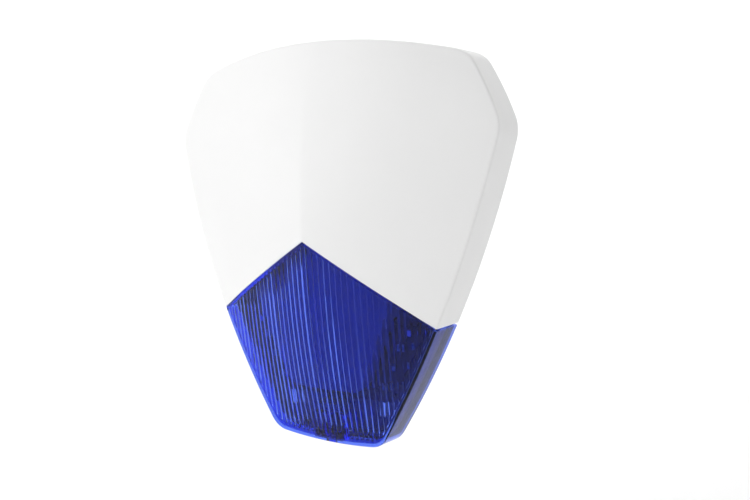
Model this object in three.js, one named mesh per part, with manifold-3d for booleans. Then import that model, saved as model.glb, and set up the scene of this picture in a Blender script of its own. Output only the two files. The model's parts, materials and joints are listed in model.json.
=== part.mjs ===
// Outdoor alarm siren: a shield-shaped cover with a strobe lens, hinged on a wall housing that
// holds the sounder, the strobe board, the radio board and the batteries.
//
// Millimetres. +X is to the right seen from the front, +Y goes into the wall, +Z is up.
// The origin is on the wall plane, at the middle of the housing. "Depth" is the distance out
// from the wall, so a point at depth d has y = -d.
import * as THREE from "three";
import { mergeVertices } from "three/addons/utils/BufferGeometryUtils.js";
import Module from "manifold-3d";

const wasm = await Module();
wasm.setup();

// ---------------------------------------------------------------- driving dimensions
// Cover outline, measured on the front edge of its side walls.
const coverHeight = 285;
const coverWidth = 260.2;
const topCornerInset = 23.8; // from the shoulder's x in to the top corner
const topCornerDrop = 12.8; // top edge's middle down to the top corner
const shoulderDrop = 60; // top edge's middle down to the shoulder
const bottomCornerHalf = 45.5;
const bottomCornerRise = 3.6;
const upperSideBulge = 1.5;
const lowerSideBulge = 9.3;
const draft = 1.9; // how far the rear edge stands outside the front edge
// Cover face: a keel down the middle falls away to the side edges.
const keelAtApex = 55.7;
const keelAtTop = 43.3;
const keelAtBottom = 23.3;
const keelSlope = 0.074;
const edgeDepth = 31.2;
const edgeMiddleZ = 11.8;
const edgeFall = 3.16e-4;
const creaseAtApex = 0.5;
const creaseAtTop = 0.05;
const creaseAtBottom = 0.25;
// Lens joint: a chevron that rises from the lens corners to its apex.
const apexAboveBottom = 149.75;
const lensCornerDrop = 55.75;
const lensCornerHalf = 90;
// Walls and gaps.
const coverWall = 2.5;
const coverBack = 4.2; // depth of the cover's rear edge
const gap = 0.3; // between pieces that touch
const seam = 0.15; // half the visible joint between cover and lens
const flangeWall = 2.6;
const flangeRise = 6;
const flangeBackDepth = 16;
// Rear housing.
const wallPad = 2;
const plateThickness = 2;
const rimClearance = 2.1; // between the cover's wall and the housing's rim
const rimWall = 2.2;
const rimDepth = 14;
// Hinge of the cover.
const hingeBarRadius = 1.6;
const hingeDepth = 7.9;
const hingeHookHalf = 7;
const hingeHookX = 25;
const hingeLugWidth = 2.5;
// Wall screws, cable entry and wall tamper.
const wallScrewHead = 10;
const wallScrewShank = 5.4;
const grommetBore = 10;
const grommetHole = 16;
const tamperShaftRadius = 2.2;
// Batteries and boards.
const cellDiameter = 17;
const cellLength = 34.5;
const cellCount = 4;
const boardThickness = 1.6;
const boardHalf = 75;
const boardHeight = 34;
const screwShank = 1.2;
const screwHead = 2.8;
// Sounder and chassis.
const sounderRadius = 30;
const chassisHeight = 118;
const chassisTopHalf = 74;
const chassisBottomHalf = 29;
const chassisWall = 2;
const chassisBehindFace = 12;
// Lock screw.
const lockShankRadius = 2;
const lockHeadRadius = 4;
const lockDepth = 18;
const lockBossHalf = 12;
const lockBossBack = 8;
const lockBossFront = 28;
const lockCatchHalf = 9;
// Spirit level.
const vialRadius = 4.2;
const vialHalf = 15;
const vialDepth = 10;
// Wall pads and lens ears.
const wallPadRadius = 14;
const lensEarHalf = 4.5;
const lensEarThickness = 2;
const sealThickness = 1;

// ---------------------------------------------------------------- derived places
const topZ = coverHeight / 2;
const bottomZ = -coverHeight / 2;
const shoulderX = coverWidth / 2;
const shoulderZ = topZ - shoulderDrop;
const apexZ = bottomZ + apexAboveBottom;
const lensCornerZ = apexZ - lensCornerDrop;
const housingInset = coverWall + rimClearance;
const plateBack = wallPad;
const plateFront = wallPad + plateThickness;
const hingeZ = topZ - housingInset;
const vialZ = topZ - 24.5;
const trayTopZ = topZ - 34.5;
const trayEndWall = 1.6;
const trayHeight = cellLength + 2 * trayEndWall + 8.3;
const trayBottomZ = trayTopZ - trayHeight;
const boardTopZ = trayBottomZ - 6;
const boardBottomZ = boardTopZ - boardHeight;
const boardBack = 10;
const boardFront = boardBack + boardThickness;
const onBoard = boardFront + gap;
const chassisTopZ = apexZ + 8.75;
const chassisBottomZ = chassisTopZ - chassisHeight;
const sounderZ = chassisTopZ - 43;
const wallScrewUpper = [shoulderX - 40, topZ - 50.5];
const wallScrewLower = [38, bottomZ + 24.5];
const cableEntry = [-(boardHalf + 17), boardTopZ - 17];
const wallTamper = [boardHalf + 17, boardTopZ - 17];
const ledBoardBack = 8;
const ledBoardFront = ledBoardBack + boardThickness;
const lockBossTop = bottomZ + 21.5;
const catchBottomZ = lockBossTop + 4;
const catchThickness = 3;

// ---------------------------------------------------------------- solids
// A closed geometry as a manifold-3d solid.
function toSolid(geometry) {
  const bare = geometry.clone();
  for (const name of Object.keys(bare.attributes)) {
    if (name !== "position") bare.deleteAttribute(name);
  }
  const merged = mergeVertices(bare, 1e-4);
  return new wasm.Manifold(
    new wasm.Mesh({
      numProp: 3,
      vertProperties: new Float32Array(merged.attributes.position.array),
      triVerts: new Uint32Array(merged.index.array),
    }),
  );
}

function toGeometry(solid) {
  const mesh = solid.getMesh();
  const geometry = new THREE.BufferGeometry();
  geometry.setAttribute("position", new THREE.BufferAttribute(mesh.vertProperties, 3));
  geometry.setIndex(new THREE.BufferAttribute(mesh.triVerts, 1));
  geometry.computeVertexNormals();
  return geometry;
}

function join(...solids) {
  return solids.reduce((whole, solid) => whole.add(solid));
}

function cut(solid, ...tools) {
  return tools.reduce((rest, tool) => rest.subtract(tool), solid);
}

// The one body of a solid, without the crumbs that nearly coplanar cuts leave.
function wholeBody(solid) {
  const bodies = solid.decompose();
  return bodies.reduce((best, body) => (body.volume() > best.volume() ? body : best));
}

function shapeOf(points) {
  return new THREE.Shape(points.map(([u, v]) => new THREE.Vector2(u, v)));
}

// A flat outline of [x, z] points, carried from one depth to another.
function prism(points, fromDepth, toDepth) {
  const depth = toDepth - fromDepth;
  const geometry = new THREE.ExtrudeGeometry(shapeOf(points), { depth, bevelEnabled: false });
  geometry.rotateX(Math.PI / 2);
  geometry.translate(0, -fromDepth, 0);
  return toSolid(geometry);
}

// A profile of [depth, z] points, carried along X.
function profileAlongX(points, fromX, toX) {
  const outline = points.map(([depth, z]) => [-depth, z]);
  const depth = toX - fromX;
  const geometry = new THREE.ExtrudeGeometry(shapeOf(outline), { depth, bevelEnabled: false });
  const turn = new THREE.Matrix4().makeBasis(
    new THREE.Vector3(0, 1, 0),
    new THREE.Vector3(0, 0, 1),
    new THREE.Vector3(1, 0, 0),
  );
  geometry.applyMatrix4(turn);
  geometry.translate(fromX, 0, 0);
  return toSolid(geometry);
}

function block([fromX, toX], [fromDepth, toDepth], [fromZ, toZ]) {
  const geometry = new THREE.BoxGeometry(toX - fromX, toDepth - fromDepth, toZ - fromZ);
  geometry.translate((fromX + toX) / 2, -(fromDepth + toDepth) / 2, (fromZ + toZ) / 2);
  return toSolid(geometry);
}

// A round bar straight out from the wall.
function rod([x, z], radius, fromDepth, toDepth, sides = 12) {
  const geometry = new THREE.CylinderGeometry(radius, radius, toDepth - fromDepth, sides);
  geometry.translate(x, -(fromDepth + toDepth) / 2, z);
  return toSolid(geometry);
}

// A round bar along Z, at the given x and depth.
function uprightRod([x, depth], radius, fromZ, toZ, sides = 16) {
  const geometry = new THREE.CylinderGeometry(radius, radius, toZ - fromZ, sides);
  geometry.rotateX(Math.PI / 2);
  geometry.translate(x, -depth, (fromZ + toZ) / 2);
  return toSolid(geometry);
}

// A round bar along X, at the given depth and z.
function crossRod([depth, z], radius, fromX, toX, sides = 16) {
  const geometry = new THREE.CylinderGeometry(radius, radius, toX - fromX, sides);
  geometry.rotateZ(Math.PI / 2);
  geometry.translate((fromX + toX) / 2, -depth, z);
  return toSolid(geometry);
}

// A closed [radius, height] profile turned about the Y axis, faces outward.
function turned(profile, sides) {
  const area = profile.reduce((sum, [r, h], i) => {
    const [nextR, nextH] = profile[(i + 1) % profile.length];
    return sum + r * nextH - nextR * h;
  }, 0);
  const ordered = area > 0 ? profile : [...profile].reverse();
  const points = ordered.map(([r, h]) => new THREE.Vector2(r, h));
  const closed = ordered[0][0] === 0 && ordered.at(-1)[0] === 0;
  if (!closed) points.push(points[0].clone());
  return new THREE.LatheGeometry(points, sides);
}

// A turned piece whose axis points out from the wall: profile of [radius, depth].
function turnedOut([x, z], profile, sides = 20) {
  const geometry = turned(profile.map(([r, depth]) => [r, -depth]), sides);
  geometry.translate(x, 0, z);
  return toSolid(geometry);
}

// A turned piece whose axis is upright: profile of [radius, z].
function turnedUp([x, depth], profile, sides = 20) {
  const geometry = turned(profile, sides);
  geometry.rotateX(Math.PI / 2);
  geometry.translate(x, -depth, 0);
  return toSolid(geometry);
}

// A turned piece whose axis lies along X: profile of [radius, x].
function turnedAcross([depth, z], profile, sides = 20) {
  const geometry = turned(profile, sides);
  geometry.rotateZ(-Math.PI / 2);
  geometry.translate(0, -depth, z);
  return toSolid(geometry);
}

// A round wire of the given radius along a list of [x, depth, z] points.
function wire(points, radius, steps, sides = 8) {
  const path = new THREE.CatmullRomCurve3(points.map(([x, d, z]) => new THREE.Vector3(x, -d, z)));
  const section = new THREE.Shape();
  section.absarc(0, 0, radius, 0, 2 * Math.PI);
  const geometry = new THREE.ExtrudeGeometry(section, {
    steps,
    curveSegments: sides,
    extrudePath: path,
  });
  return toSolid(geometry);
}

// A pan-head screw along Y. Its head's underside is at headDepth and its tip at tipDepth.
function screw([x, z], headDepth, tipDepth, shank = screwShank, head = screwHead) {
  const way = Math.sign(headDepth - tipDepth);
  const headTop = headDepth + way * head * 0.65;
  return turnedOut([x, z], [
    [0, tipDepth],
    [shank, tipDepth + way * shank],
    [shank, headDepth],
    [head, headDepth],
    [head * 0.8, headTop],
    [0, headTop],
  ], 10);
}

// ---------------------------------------------------------------- cover outline
// A point on a quadratic curve, and for two values a control point of the stretch between them.
function blossom([start, control, end], a, b) {
  return [0, 1].map((axis) => {
    const middle = (1 - a) * b + a * (1 - b);
    return (1 - a) * (1 - b) * start[axis] + middle * control[axis] + a * b * end[axis];
  });
}

function stretch(curve, a, b) {
  return [blossom(curve, a, a), blossom(curve, a, b), blossom(curve, b, b)];
}

// A side that stands out from its chord by the given bulge.
function bulgedSide(from, to, bulge) {
  const length = Math.hypot(to[0] - from[0], to[1] - from[1]);
  const outX = -(to[1] - from[1]) / length;
  const outZ = (to[0] - from[0]) / length;
  const middle = [(from[0] + to[0]) / 2, (from[1] + to[1]) / 2];
  return [from, [middle[0] + 2 * bulge * outX, middle[1] + 2 * bulge * outZ], to];
}

// The right half of the outline as quadratic curves, each with its number of segments.
function rightHalfCurves() {
  const topCorner = [shoulderX - topCornerInset, topZ - topCornerDrop];
  const shoulder = [shoulderX, shoulderZ];
  const bottomCorner = [bottomCornerHalf, bottomZ + bottomCornerRise];
  const top = [[0, topZ], [topCorner[0] / 2, topZ], topCorner];
  const upper = bulgedSide(topCorner, shoulder, upperSideBulge);
  const lower = bulgedSide(shoulder, bottomCorner, lowerSideBulge);
  const bottom = [bottomCorner, [bottomCorner[0] / 2, bottomZ], [0, bottomZ]];
  const trimmedTop = stretch(top, 0, 0.92);
  const trimmedUpper = stretch(upper, 0.15, 0.87);
  const trimmedLower = stretch(lower, 0.032, 0.965);
  const trimmedBottom = stretch(bottom, 0.18, 1);
  return [
    { curve: trimmedTop, segments: 5 },
    { curve: [trimmedTop[2], topCorner, trimmedUpper[0]], segments: 4 },
    { curve: trimmedUpper, segments: 2 },
    { curve: [trimmedUpper[2], shoulder, trimmedLower[0]], segments: 4 },
    { curve: trimmedLower, segments: 8 },
    { curve: [trimmedLower[2], bottomCorner, trimmedBottom[0]], segments: 4 },
    { curve: trimmedBottom, segments: 3 },
  ];
}

// The whole outline as [x, z] points, moved in by inset along its own normal.
function outline(inset) {
  const right = [];
  for (const { curve, segments } of rightHalfCurves()) {
    for (let i = 0; i < segments; i++) {
      const t = i / segments;
      const [x, z] = blossom(curve, t, t);
      const before = blossom(curve, 0, t);
      const after = blossom(curve, 1, t);
      const along = [after[0] - before[0], after[1] - before[1]];
      const length = Math.hypot(...along);
      const slid = [x + (inset * along[1]) / length, z - (inset * along[0]) / length];
      right.push(right.length ? slid : [0, slid[1]]);
    }
  }
  const left = right.slice(1).map(([x, z]) => [-x, z]).reverse();
  return [...right, [0, bottomZ + inset], ...left];
}

// ---------------------------------------------------------------- cover face
// Half width of the face at a height, with the two sides' chords carried on past their ends.
function halfWidth(z) {
  const upper = z > shoulderZ;
  const endX = upper ? shoulderX - topCornerInset : bottomCornerHalf;
  const endZ = upper ? topZ - topCornerDrop : bottomZ + bottomCornerRise;
  const share = (z - shoulderZ) / (endZ - shoulderZ);
  const slant = Math.hypot(endX - shoulderX, endZ - shoulderZ) / Math.abs(endZ - shoulderZ);
  const bulge = (upper ? upperSideBulge : lowerSideBulge) * slant;
  return shoulderX + share * (endX - shoulderX) + Math.max(0, 4 * share * (1 - share)) * bulge;
}

function keelDepth(z) {
  const rise = z - apexZ;
  const reach = rise > 0 ? topZ - apexZ : bottomZ - apexZ;
  const endDepth = rise > 0 ? keelAtTop : keelAtBottom;
  const fall = (keelAtApex + keelSlope * reach - endDepth) / reach ** 2;
  return keelAtApex + keelSlope * rise - fall * rise ** 2;
}

// Depth of the outer face from the wall.
function faceDepth(x, z) {
  const keel = keelDepth(z);
  const edge = edgeDepth - edgeFall * (z - edgeMiddleZ) ** 2;
  const share = (z - apexZ) / (z > apexZ ? topZ - apexZ : bottomZ - apexZ);
  const end = z > apexZ ? creaseAtTop : creaseAtBottom;
  const crease = creaseAtApex + share * (end - creaseAtApex);
  const w = Math.abs(x) / halfWidth(z);
  return coverBack + keel - (keel - edge) * (crease * w + (1 - crease) * w ** 2);
}

// The cover's outer form as a closed solid, moved in by wallInset at its sides and faceInset at
// its face. The face is a fan of rings about the point where the shoulders' line meets the keel.
function envelope(wallInset, faceInset, rings = 5) {
  const rear = outline(wallInset - draft);
  const front = outline(wallInset);
  const count = front.length;
  const vertices = [];
  const triangles = [];
  rear.forEach(([x, z]) => vertices.push(x, -coverBack + (wallInset ? 2 : 0), z));
  for (let ring = rings; ring > 0; ring--) {
    const share = ring / rings;
    front.forEach(([edgeX, edgeZ]) => {
      const x = edgeX * share;
      const z = shoulderZ + (edgeZ - shoulderZ) * share;
      vertices.push(x, -(faceDepth(x, z) - faceInset), z);
    });
  }
  const nose = vertices.length / 3;
  vertices.push(0, -(faceDepth(0, shoulderZ) - faceInset), shoulderZ);
  vertices.push(0, -coverBack + (wallInset ? 2 : 0), shoulderZ);
  const back = nose + 1;
  for (let i = 0; i < count; i++) {
    const j = (i + 1) % count;
    for (let ring = 0; ring < rings; ring++) {
      const a = ring * count;
      const b = a + count;
      triangles.push(a + i, b + i, b + j, a + i, b + j, a + j);
    }
    triangles.push(rings * count + i, nose, rings * count + j, i, j, back);
  }
  const geometry = new THREE.BufferGeometry();
  geometry.setAttribute("position", new THREE.Float32BufferAttribute(vertices, 3));
  geometry.setIndex(triangles);
  return toSolid(geometry);
}

function chevronZ(x) {
  return apexZ - lensCornerDrop * Math.min(Math.abs(x) / lensCornerHalf, 1);
}

// The space above or below the chevron, moved up by offset, or the band between two offsets.
function chevronLine(offset) {
  const far = coverWidth;
  return [
    [-far, lensCornerZ + offset],
    [-lensCornerHalf, lensCornerZ + offset],
    [0, apexZ + offset],
    [lensCornerHalf, lensCornerZ + offset],
    [far, lensCornerZ + offset],
  ];
}

function aboveChevron(offset, fromDepth = -10) {
  const far = coverWidth;
  return prism([...chevronLine(offset), [far, coverHeight], [-far, coverHeight]], fromDepth, 100);
}

function belowChevron(offset, fromDepth = -10) {
  const far = coverWidth;
  return prism([...chevronLine(offset), [far, -coverHeight], [-far, -coverHeight]], fromDepth, 100);
}

function chevronBand(low, high, fromDepth) {
  return prism([...chevronLine(low), ...chevronLine(high).reverse()], fromDepth, 100);
}

const outerForm = envelope(0, 0);
const innerForm = envelope(coverWall, coverWall + 0.1);
const flangeForm = envelope(coverWall + gap, coverWall + 0.1 + gap);
const flangeInside = envelope(coverWall + gap + flangeWall, coverWall + 0.1 + gap + flangeWall);
const coverShell = outerForm.subtract(innerForm);

// ---------------------------------------------------------------- cover, lens and their screws
const lensScrewX = 75;
const lensScrewZ = chevronZ(lensScrewX) + 11;
const lensPostEnd = faceDepth(lensScrewX, lensScrewZ) - 9;
const lensEarBack = lensPostEnd - gap - lensEarThickness;
const sealBand = [1.9, 3.5]; // above the chevron, along Z
const tamperSwitch = [boardHalf - 11, boardTopZ - 18];
const coverTamperTip = 22;

// A hook that goes over a hinge bar: a ring open at its lower rear.
function hingeHook(side) {
  const inner = hingeBarRadius + gap;
  const outer = inner + 1.7;
  const opening = Math.PI / 2.2;
  const middle = (5 * Math.PI) / 4;
  const arc = (radius, i) => {
    const angle = middle + opening / 2 + (i / 12) * (2 * Math.PI - opening);
    return [hingeDepth + radius * Math.cos(angle), hingeZ + radius * Math.sin(angle)];
  };
  const steps = [...Array(13).keys()];
  const points = [...steps.map((i) => arc(outer, i)), ...steps.map((i) => arc(inner, i)).reverse()];
  const x = side * hingeHookX;
  return profileAlongX(points, x - hingeHookHalf, x + hingeHookHalf);
}

function makeFrontCover() {
  const pillar = (x, z, radius, end) => {
    return rod([x, z], radius, end, faceDepth(x, z), 12).intersect(envelope(1, 1));
  };
  const posts = [-1, 1].map((side) => {
    const spot = [side * lensScrewX, lensScrewZ];
    const hole = rod(spot, screwShank + gap, lensPostEnd - 1, lensPostEnd + 6, 10);
    return pillar(...spot, 3.5, lensPostEnd).subtract(hole);
  });
  const shell = coverShell.intersect(aboveChevron(seam));
  const tamperPost = pillar(...tamperSwitch, 3, coverTamperTip + gap);
  return wholeBody(join(shell, hingeHook(-1), hingeHook(1), tamperPost, ...posts));
}

function lensEar(side) {
  const xs = [side * lensScrewX - lensEarHalf, side * lensScrewX + lensEarHalf];
  const foot = chevronZ(lensScrewX) - 1;
  const head = lensScrewZ + lensEarHalf;
  const plate = block(xs, [lensEarBack, lensEarBack + lensEarThickness], [foot, head]);
  const web = block(xs, [lensEarBack, faceDepth(lensScrewX, foot)], [foot, foot + 3]);
  const hole = rod([side * lensScrewX, lensScrewZ], screwShank + gap, 0, lensPostEnd, 10);
  const inside = envelope(coverWall + 2 * gap, coverWall + 3 * gap);
  return join(plate, web).intersect(inside).subtract(hole);
}

// The block at the lens's lower end that holds the lock screw, open below for its head.
function lockBoss() {
  const depths = [lockBossBack, lockBossFront];
  const body = block([-lockBossHalf, lockBossHalf], depths, [bottomZ - 3, lockBossTop]);
  return body.intersect(envelope(0.5, 0.5));
}

function lockBores() {
  const axis = [0, lockDepth];
  const recessTop = lockBossTop - 6.5;
  const recess = uprightRod(axis, lockHeadRadius + 0.5, bottomZ - 5, recessTop, 20);
  const bore = uprightRod(axis, lockShankRadius + 0.4, recessTop - 1, lockBossTop + 1, 12);
  return recess.add(bore);
}

function makeStrobeLens() {
  const shell = coverShell.intersect(belowChevron(-seam));
  const thickBand = envelope(1, 1).intersect(chevronBand(-4, -seam, flangeBackDepth));
  const flange = flangeForm.intersect(chevronBand(-3, flangeRise, flangeBackDepth));
  const tongue = join(thickBand, flange).subtract(flangeInside);
  const grooveFloor = coverWall + 2 * gap + sealThickness;
  const groove = outerForm
    .subtract(envelope(grooveFloor, grooveFloor))
    .intersect(chevronBand(sealBand[0] - gap, sealBand[1] + gap, flangeBackDepth - 1));
  const whole = join(shell, tongue, lensEar(-1), lensEar(1), lockBoss());
  return wholeBody(cut(whole, groove, lockBores()));
}

function makeLensSeal() {
  const inside = envelope(coverWall + gap + sealThickness, coverWall + gap + sealThickness);
  const band = chevronBand(sealBand[0], sealBand[1], flangeBackDepth + gap);
  return wholeBody(flangeForm.subtract(inside).intersect(band));
}

function makeLensScrew(side) {
  return screw([side * lensScrewX, lensScrewZ], lensEarBack - gap, lensPostEnd + 5);
}

const lockHeadBottom = bottomZ + 1.2;
const lockHeadTop = lockHeadBottom + 6;

// A slotted cylinder head on a plain shank with a short lead-in.
function makeLockScrew() {
  const tip = lockBossTop - 0.8;
  const body = turnedUp([0, lockDepth], [
    [0, lockHeadBottom],
    [lockHeadRadius - 0.5, lockHeadBottom],
    [lockHeadRadius, lockHeadBottom + 0.5],
    [lockHeadRadius, lockHeadTop],
    [lockShankRadius, lockHeadTop],
    [lockShankRadius, tip - 1],
    [lockShankRadius - 0.8, tip],
    [0, tip],
  ], 20);
  const slot = block([-6, 6], [lockDepth - 0.6, lockDepth + 0.6], [bottomZ - 2, lockHeadBottom + 2]);
  return body.subtract(slot);
}

function makeLockWasher() {
  return turnedUp([0, lockDepth], [
    [lockShankRadius + gap, lockHeadTop + gap],
    [lockHeadRadius, lockHeadTop + gap],
    [lockHeadRadius, lockHeadTop + gap + 1],
    [lockShankRadius + gap, lockHeadTop + gap + 1],
  ], 20);
}

// ---------------------------------------------------------------- rear housing
function keyhole([x, z]) {
  const head = rod([x, z], wallScrewHead / 2, -1, 10, 16);
  const half = wallScrewShank / 2;
  return head.add(block([x - half, x + half], [-1, 10], [z, z + 9]));
}

function slotHole([x, z]) {
  const half = wallScrewShank / 2;
  return block([x - half, x + half], [-1, 10], [z - 5.5, z + 5.5]);
}

function hingeLugs(side) {
  const start = side * hingeHookX;
  const reach = hingeHookHalf + 0.5;
  const profile = [
    [plateFront - 0.5, hingeZ - 8],
    [hingeDepth + 1.9, hingeZ - 1.5],
    [hingeDepth + 1.9, hingeZ + 0.8],
    [hingeDepth + 0.8, hingeZ + 1.9],
    [hingeDepth - 0.8, hingeZ + 1.9],
    [plateFront - 0.5, hingeZ - 1],
  ];
  const inner = profileAlongX(profile, start - reach - hingeLugWidth, start - reach);
  const outer = profileAlongX(profile, start + reach, start + reach + hingeLugWidth);
  const bar = crossRod([hingeDepth, hingeZ], hingeBarRadius, start - reach - 1, start + reach + 1);
  return join(inner, outer, bar);
}

// The bracket above the lens's boss that the lock screw enters.
function lockCatch() {
  const top = catchBottomZ + catchThickness;
  const depths = [plateFront - 0.5, lockDepth + 6];
  const shelf = block([-lockCatchHalf, lockCatchHalf], depths, [catchBottomZ, top]);
  const rib = (x) => {
    const profile = [
      [plateFront - 0.5, catchBottomZ],
      [lockDepth - 5, top - 0.5],
      [plateFront - 0.5, catchBottomZ + 7],
    ];
    return profileAlongX(profile, x - 1, x + 1);
  };
  const hole = uprightRod([0, lockDepth], lockShankRadius + 0.4, catchBottomZ - 1, catchBottomZ + 4, 12);
  return join(shelf, rib(-7), rib(7)).subtract(hole);
}

const boardPosts = [-1, 1].map((side) => [side * (boardHalf - 5), boardTopZ - 4]);
const boardPegs = [-1, 1].map((side) => [side * (boardHalf - 5), boardBottomZ + 4]);
const ledBoardTopZ = lensCornerZ - 4;
const ledPosts = [-1, 1].map((side) => [side * 62, ledBoardTopZ - 5]);
const chassisPosts = [-1, 1].flatMap((side) => [
  [side * (chassisTopHalf - 12), chassisTopZ - 10],
  [side * (chassisBottomHalf - 7), chassisBottomZ + 10],
]);
const sounderPosts = [90, 210, 330].map((degrees) => {
  const angle = THREE.MathUtils.degToRad(degrees);
  return [(sounderRadius + 4) * Math.cos(angle), sounderZ + (sounderRadius + 4) * Math.sin(angle)];
});
const trayHalf = (cellCount * (cellDiameter + 1.6)) / 2 + 2.8;
const trayPosts = [-1, 1].map((side) => [side * (trayHalf + 4.6), trayBottomZ + trayHeight / 2]);
const guideRadius = 6;
const guideBore = 4.3;

function post(place, radius, end, holeRadius, holeStart) {
  const body = rod(place, radius, plateFront - 0.5, end, 10);
  return body.subtract(rod(place, holeRadius, holeStart, end + 1, 8));
}

// A shoulder under the board with a locating peg that goes through it.
function boardPeg(place) {
  const shoulder = rod(place, 3.5, plateFront - 0.5, boardBack - gap, 12);
  return shoulder.add(rod(place, screwShank, boardBack - 1, boardFront + 1, 10));
}

function sounderSlots() {
  return [-16, -8, 0, 8, 16].map((offset) => {
    const half = Math.sqrt((sounderRadius - 5) ** 2 - offset ** 2);
    const z = sounderZ + offset;
    return block([-half, half], [-1, 5], [z - 1.5, z + 1.5]);
  });
}

function vialClip(x) {
  const body = block([x - 1.5, x + 1.5], [plateFront - 0.5, vialDepth + 1], [vialZ - 6, vialZ + 6]);
  return body.subtract(crossRod([vialDepth, vialZ], vialRadius + gap, x - 3, x + 3, 16));
}

function makeRearHousing() {
  const tray = cut(
    prism(outline(housingInset), plateBack, rimDepth),
    prism(outline(housingInset + rimWall), plateFront, rimDepth + 1),
    block([-hingeHookX - 11, hingeHookX + 11], [plateFront, 20], [hingeZ - 10, topZ]),
    block([-lockBossHalf - 2, lockBossHalf + 2], [plateFront, 20], [bottomZ, bottomZ + 14]),
  );
  const upper = [-1, 1].map((side) => [side * wallScrewUpper[0], wallScrewUpper[1]]);
  const lower = [-1, 1].map((side) => [side * wallScrewLower[0], wallScrewLower[1]]);
  const pads = [...upper, ...lower].map((place) => rod(place, wallPadRadius, 0, plateBack + 0.5, 16));
  const middlePad = rod([0, 0], 7, 0, plateBack + 0.5, 12);
  const posts = [
    ...boardPosts.map((place) => post(place, 3.5, boardBack - gap, screwShank + gap, 5)),
    ...boardPegs.map(boardPeg),
    ...ledPosts.map((place) => post(place, 3, ledBoardBack - gap, screwShank + gap, 5)),
  ];
  const guide = rod(wallTamper, guideRadius, plateFront - 0.5, rimDepth, 20)
    .subtract(rod(wallTamper, guideBore, plateFront, rimDepth + 1, 16));
  const solid = join(
    tray, ...pads, middlePad, ...posts, guide,
    hingeLugs(-1), hingeLugs(1), lockCatch(), vialClip(-9), vialClip(9),
  );
  const chassisHoles = chassisPosts.map((place) => rod(place, screwShank + 0.7, -1, 5, 8));
  const otherHoles = [...sounderPosts, ...trayPosts].map((place) => {
    return rod(place, screwShank + gap, -1, 5, 8);
  });
  return wholeBody(cut(
    solid, ...upper.map(keyhole), ...lower.map(slotHole), ...sounderSlots(),
    rod(cableEntry, grommetHole / 2, -1, 6, 20),
    rod(wallTamper, tamperShaftRadius + gap, -1, 6, 16),
    ...chassisHoles, ...otherHoles,
  ));
}

function makeCableGrommet() {
  const bore = grommetBore / 2;
  const neck = grommetHole / 2 - gap;
  const flange = neck + 2.8;
  return turnedOut(cableEntry, [
    [bore, 0.3],
    [flange - 0.8, 0.3],
    [flange, plateBack - gap],
    [neck, plateBack - gap],
    [neck, plateFront + gap],
    [flange, plateFront + gap],
    [flange - 1.5, plateFront + gap + 2],
    [bore + 0.6, plateFront + gap + 4],
    [bore, plateFront + gap + 4],
  ], 20);
}

// Spirit level: a round-ended vial that lies in two clips.
function makeLevelVial() {
  return turnedAcross([vialDepth, vialZ], [
    [0, -vialHalf],
    [vialRadius * 0.6, -vialHalf + 0.6],
    [vialRadius, -vialHalf + 2.4],
    [vialRadius, vialHalf - 2.4],
    [vialRadius * 0.6, vialHalf - 0.6],
    [0, vialHalf],
  ], 16);
}

// ---------------------------------------------------------------- wall tamper
function makeWallTamperPlunger() {
  return turnedOut(wallTamper, [
    [0, 0],
    [tamperShaftRadius - 0.6, 0],
    [tamperShaftRadius, 0.8],
    [tamperShaftRadius, 7],
    [guideBore - gap, 7],
    [guideBore - gap, 8.4],
    [tamperShaftRadius - 0.4, 8.4],
    [tamperShaftRadius - 0.4, 12.5],
    [0, 12.5],
  ], 16);
}

function makeWallTamperSpring() {
  const turns = 3;
  const perTurn = 10;
  const start = 9.3;
  const pitch = 1.35;
  const radius = 3.1;
  const points = [...Array(turns * perTurn + 1).keys()].map((i) => {
    const angle = (i / perTurn) * 2 * Math.PI;
    return [
      wallTamper[0] + radius * Math.cos(angle),
      start + (pitch * i) / perTurn,
      wallTamper[1] + radius * Math.sin(angle),
    ];
  });
  return wire(points, 0.4, turns * perTurn, 3);
}

function makeWallTamperCap() {
  return turnedOut(wallTamper, [
    [0, 16.2],
    [0, rimDepth + gap + 0.9],
    [3, rimDepth + gap + 0.9],
    [3, rimDepth + gap],
    [guideRadius + 0.6, rimDepth + gap],
    [guideRadius + 0.6, 15.4],
    [guideRadius - 0.2, 16.2],
  ], 16);
}

// ---------------------------------------------------------------- sounder
const screenFront = plateFront + gap + 0.6;
const chamberBack = screenFront + gap;

function makeInsectScreen() {
  const disc = rod([0, sounderZ], sounderRadius - 1.4, plateFront + gap, screenFront, 28);
  const spacing = 9;
  const holes = [];
  for (let row = -2; row <= 2; row++) {
    for (let column = -2; column <= 2; column++) {
      const x = column * spacing;
      const z = sounderZ + row * spacing;
      if (Math.hypot(x, z - sounderZ) < 21) {
        holes.push(block([x - 3.2, x + 3.2], [0, 10], [z - 3.2, z + 3.2]));
      }
    }
  }
  return cut(disc, ...holes);
}

// A cup open towards the wall, with a step that the disc seats on and a flange for its screws.
function makeSounderChamber() {
  const flange = sounderRadius + 7.5;
  const body = turnedOut([0, sounderZ], [
    [sounderRadius - 3, chamberBack],
    [flange, chamberBack],
    [flange, chamberBack + 2],
    [sounderRadius, chamberBack + 2],
    [sounderRadius - 2, 27],
    [0, 27],
    [0, 24.5],
    [sounderRadius - 6.5, 24.5],
    [sounderRadius - 6.5, 16.3],
    [sounderRadius - 3, 16.3],
  ], 28);
  return cut(body, ...sounderPosts.map((place) => rod(place, screwShank + gap, 0, 10, 10)));
}

function makePiezoDisc() {
  const rim = sounderRadius - 3 - gap;
  const profile = [[0, 14.4], [17, 14.4], [17, 15.2], [rim, 15.2], [rim, 16], [0, 16]];
  return turnedOut([0, sounderZ], profile, 28);
}

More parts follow.
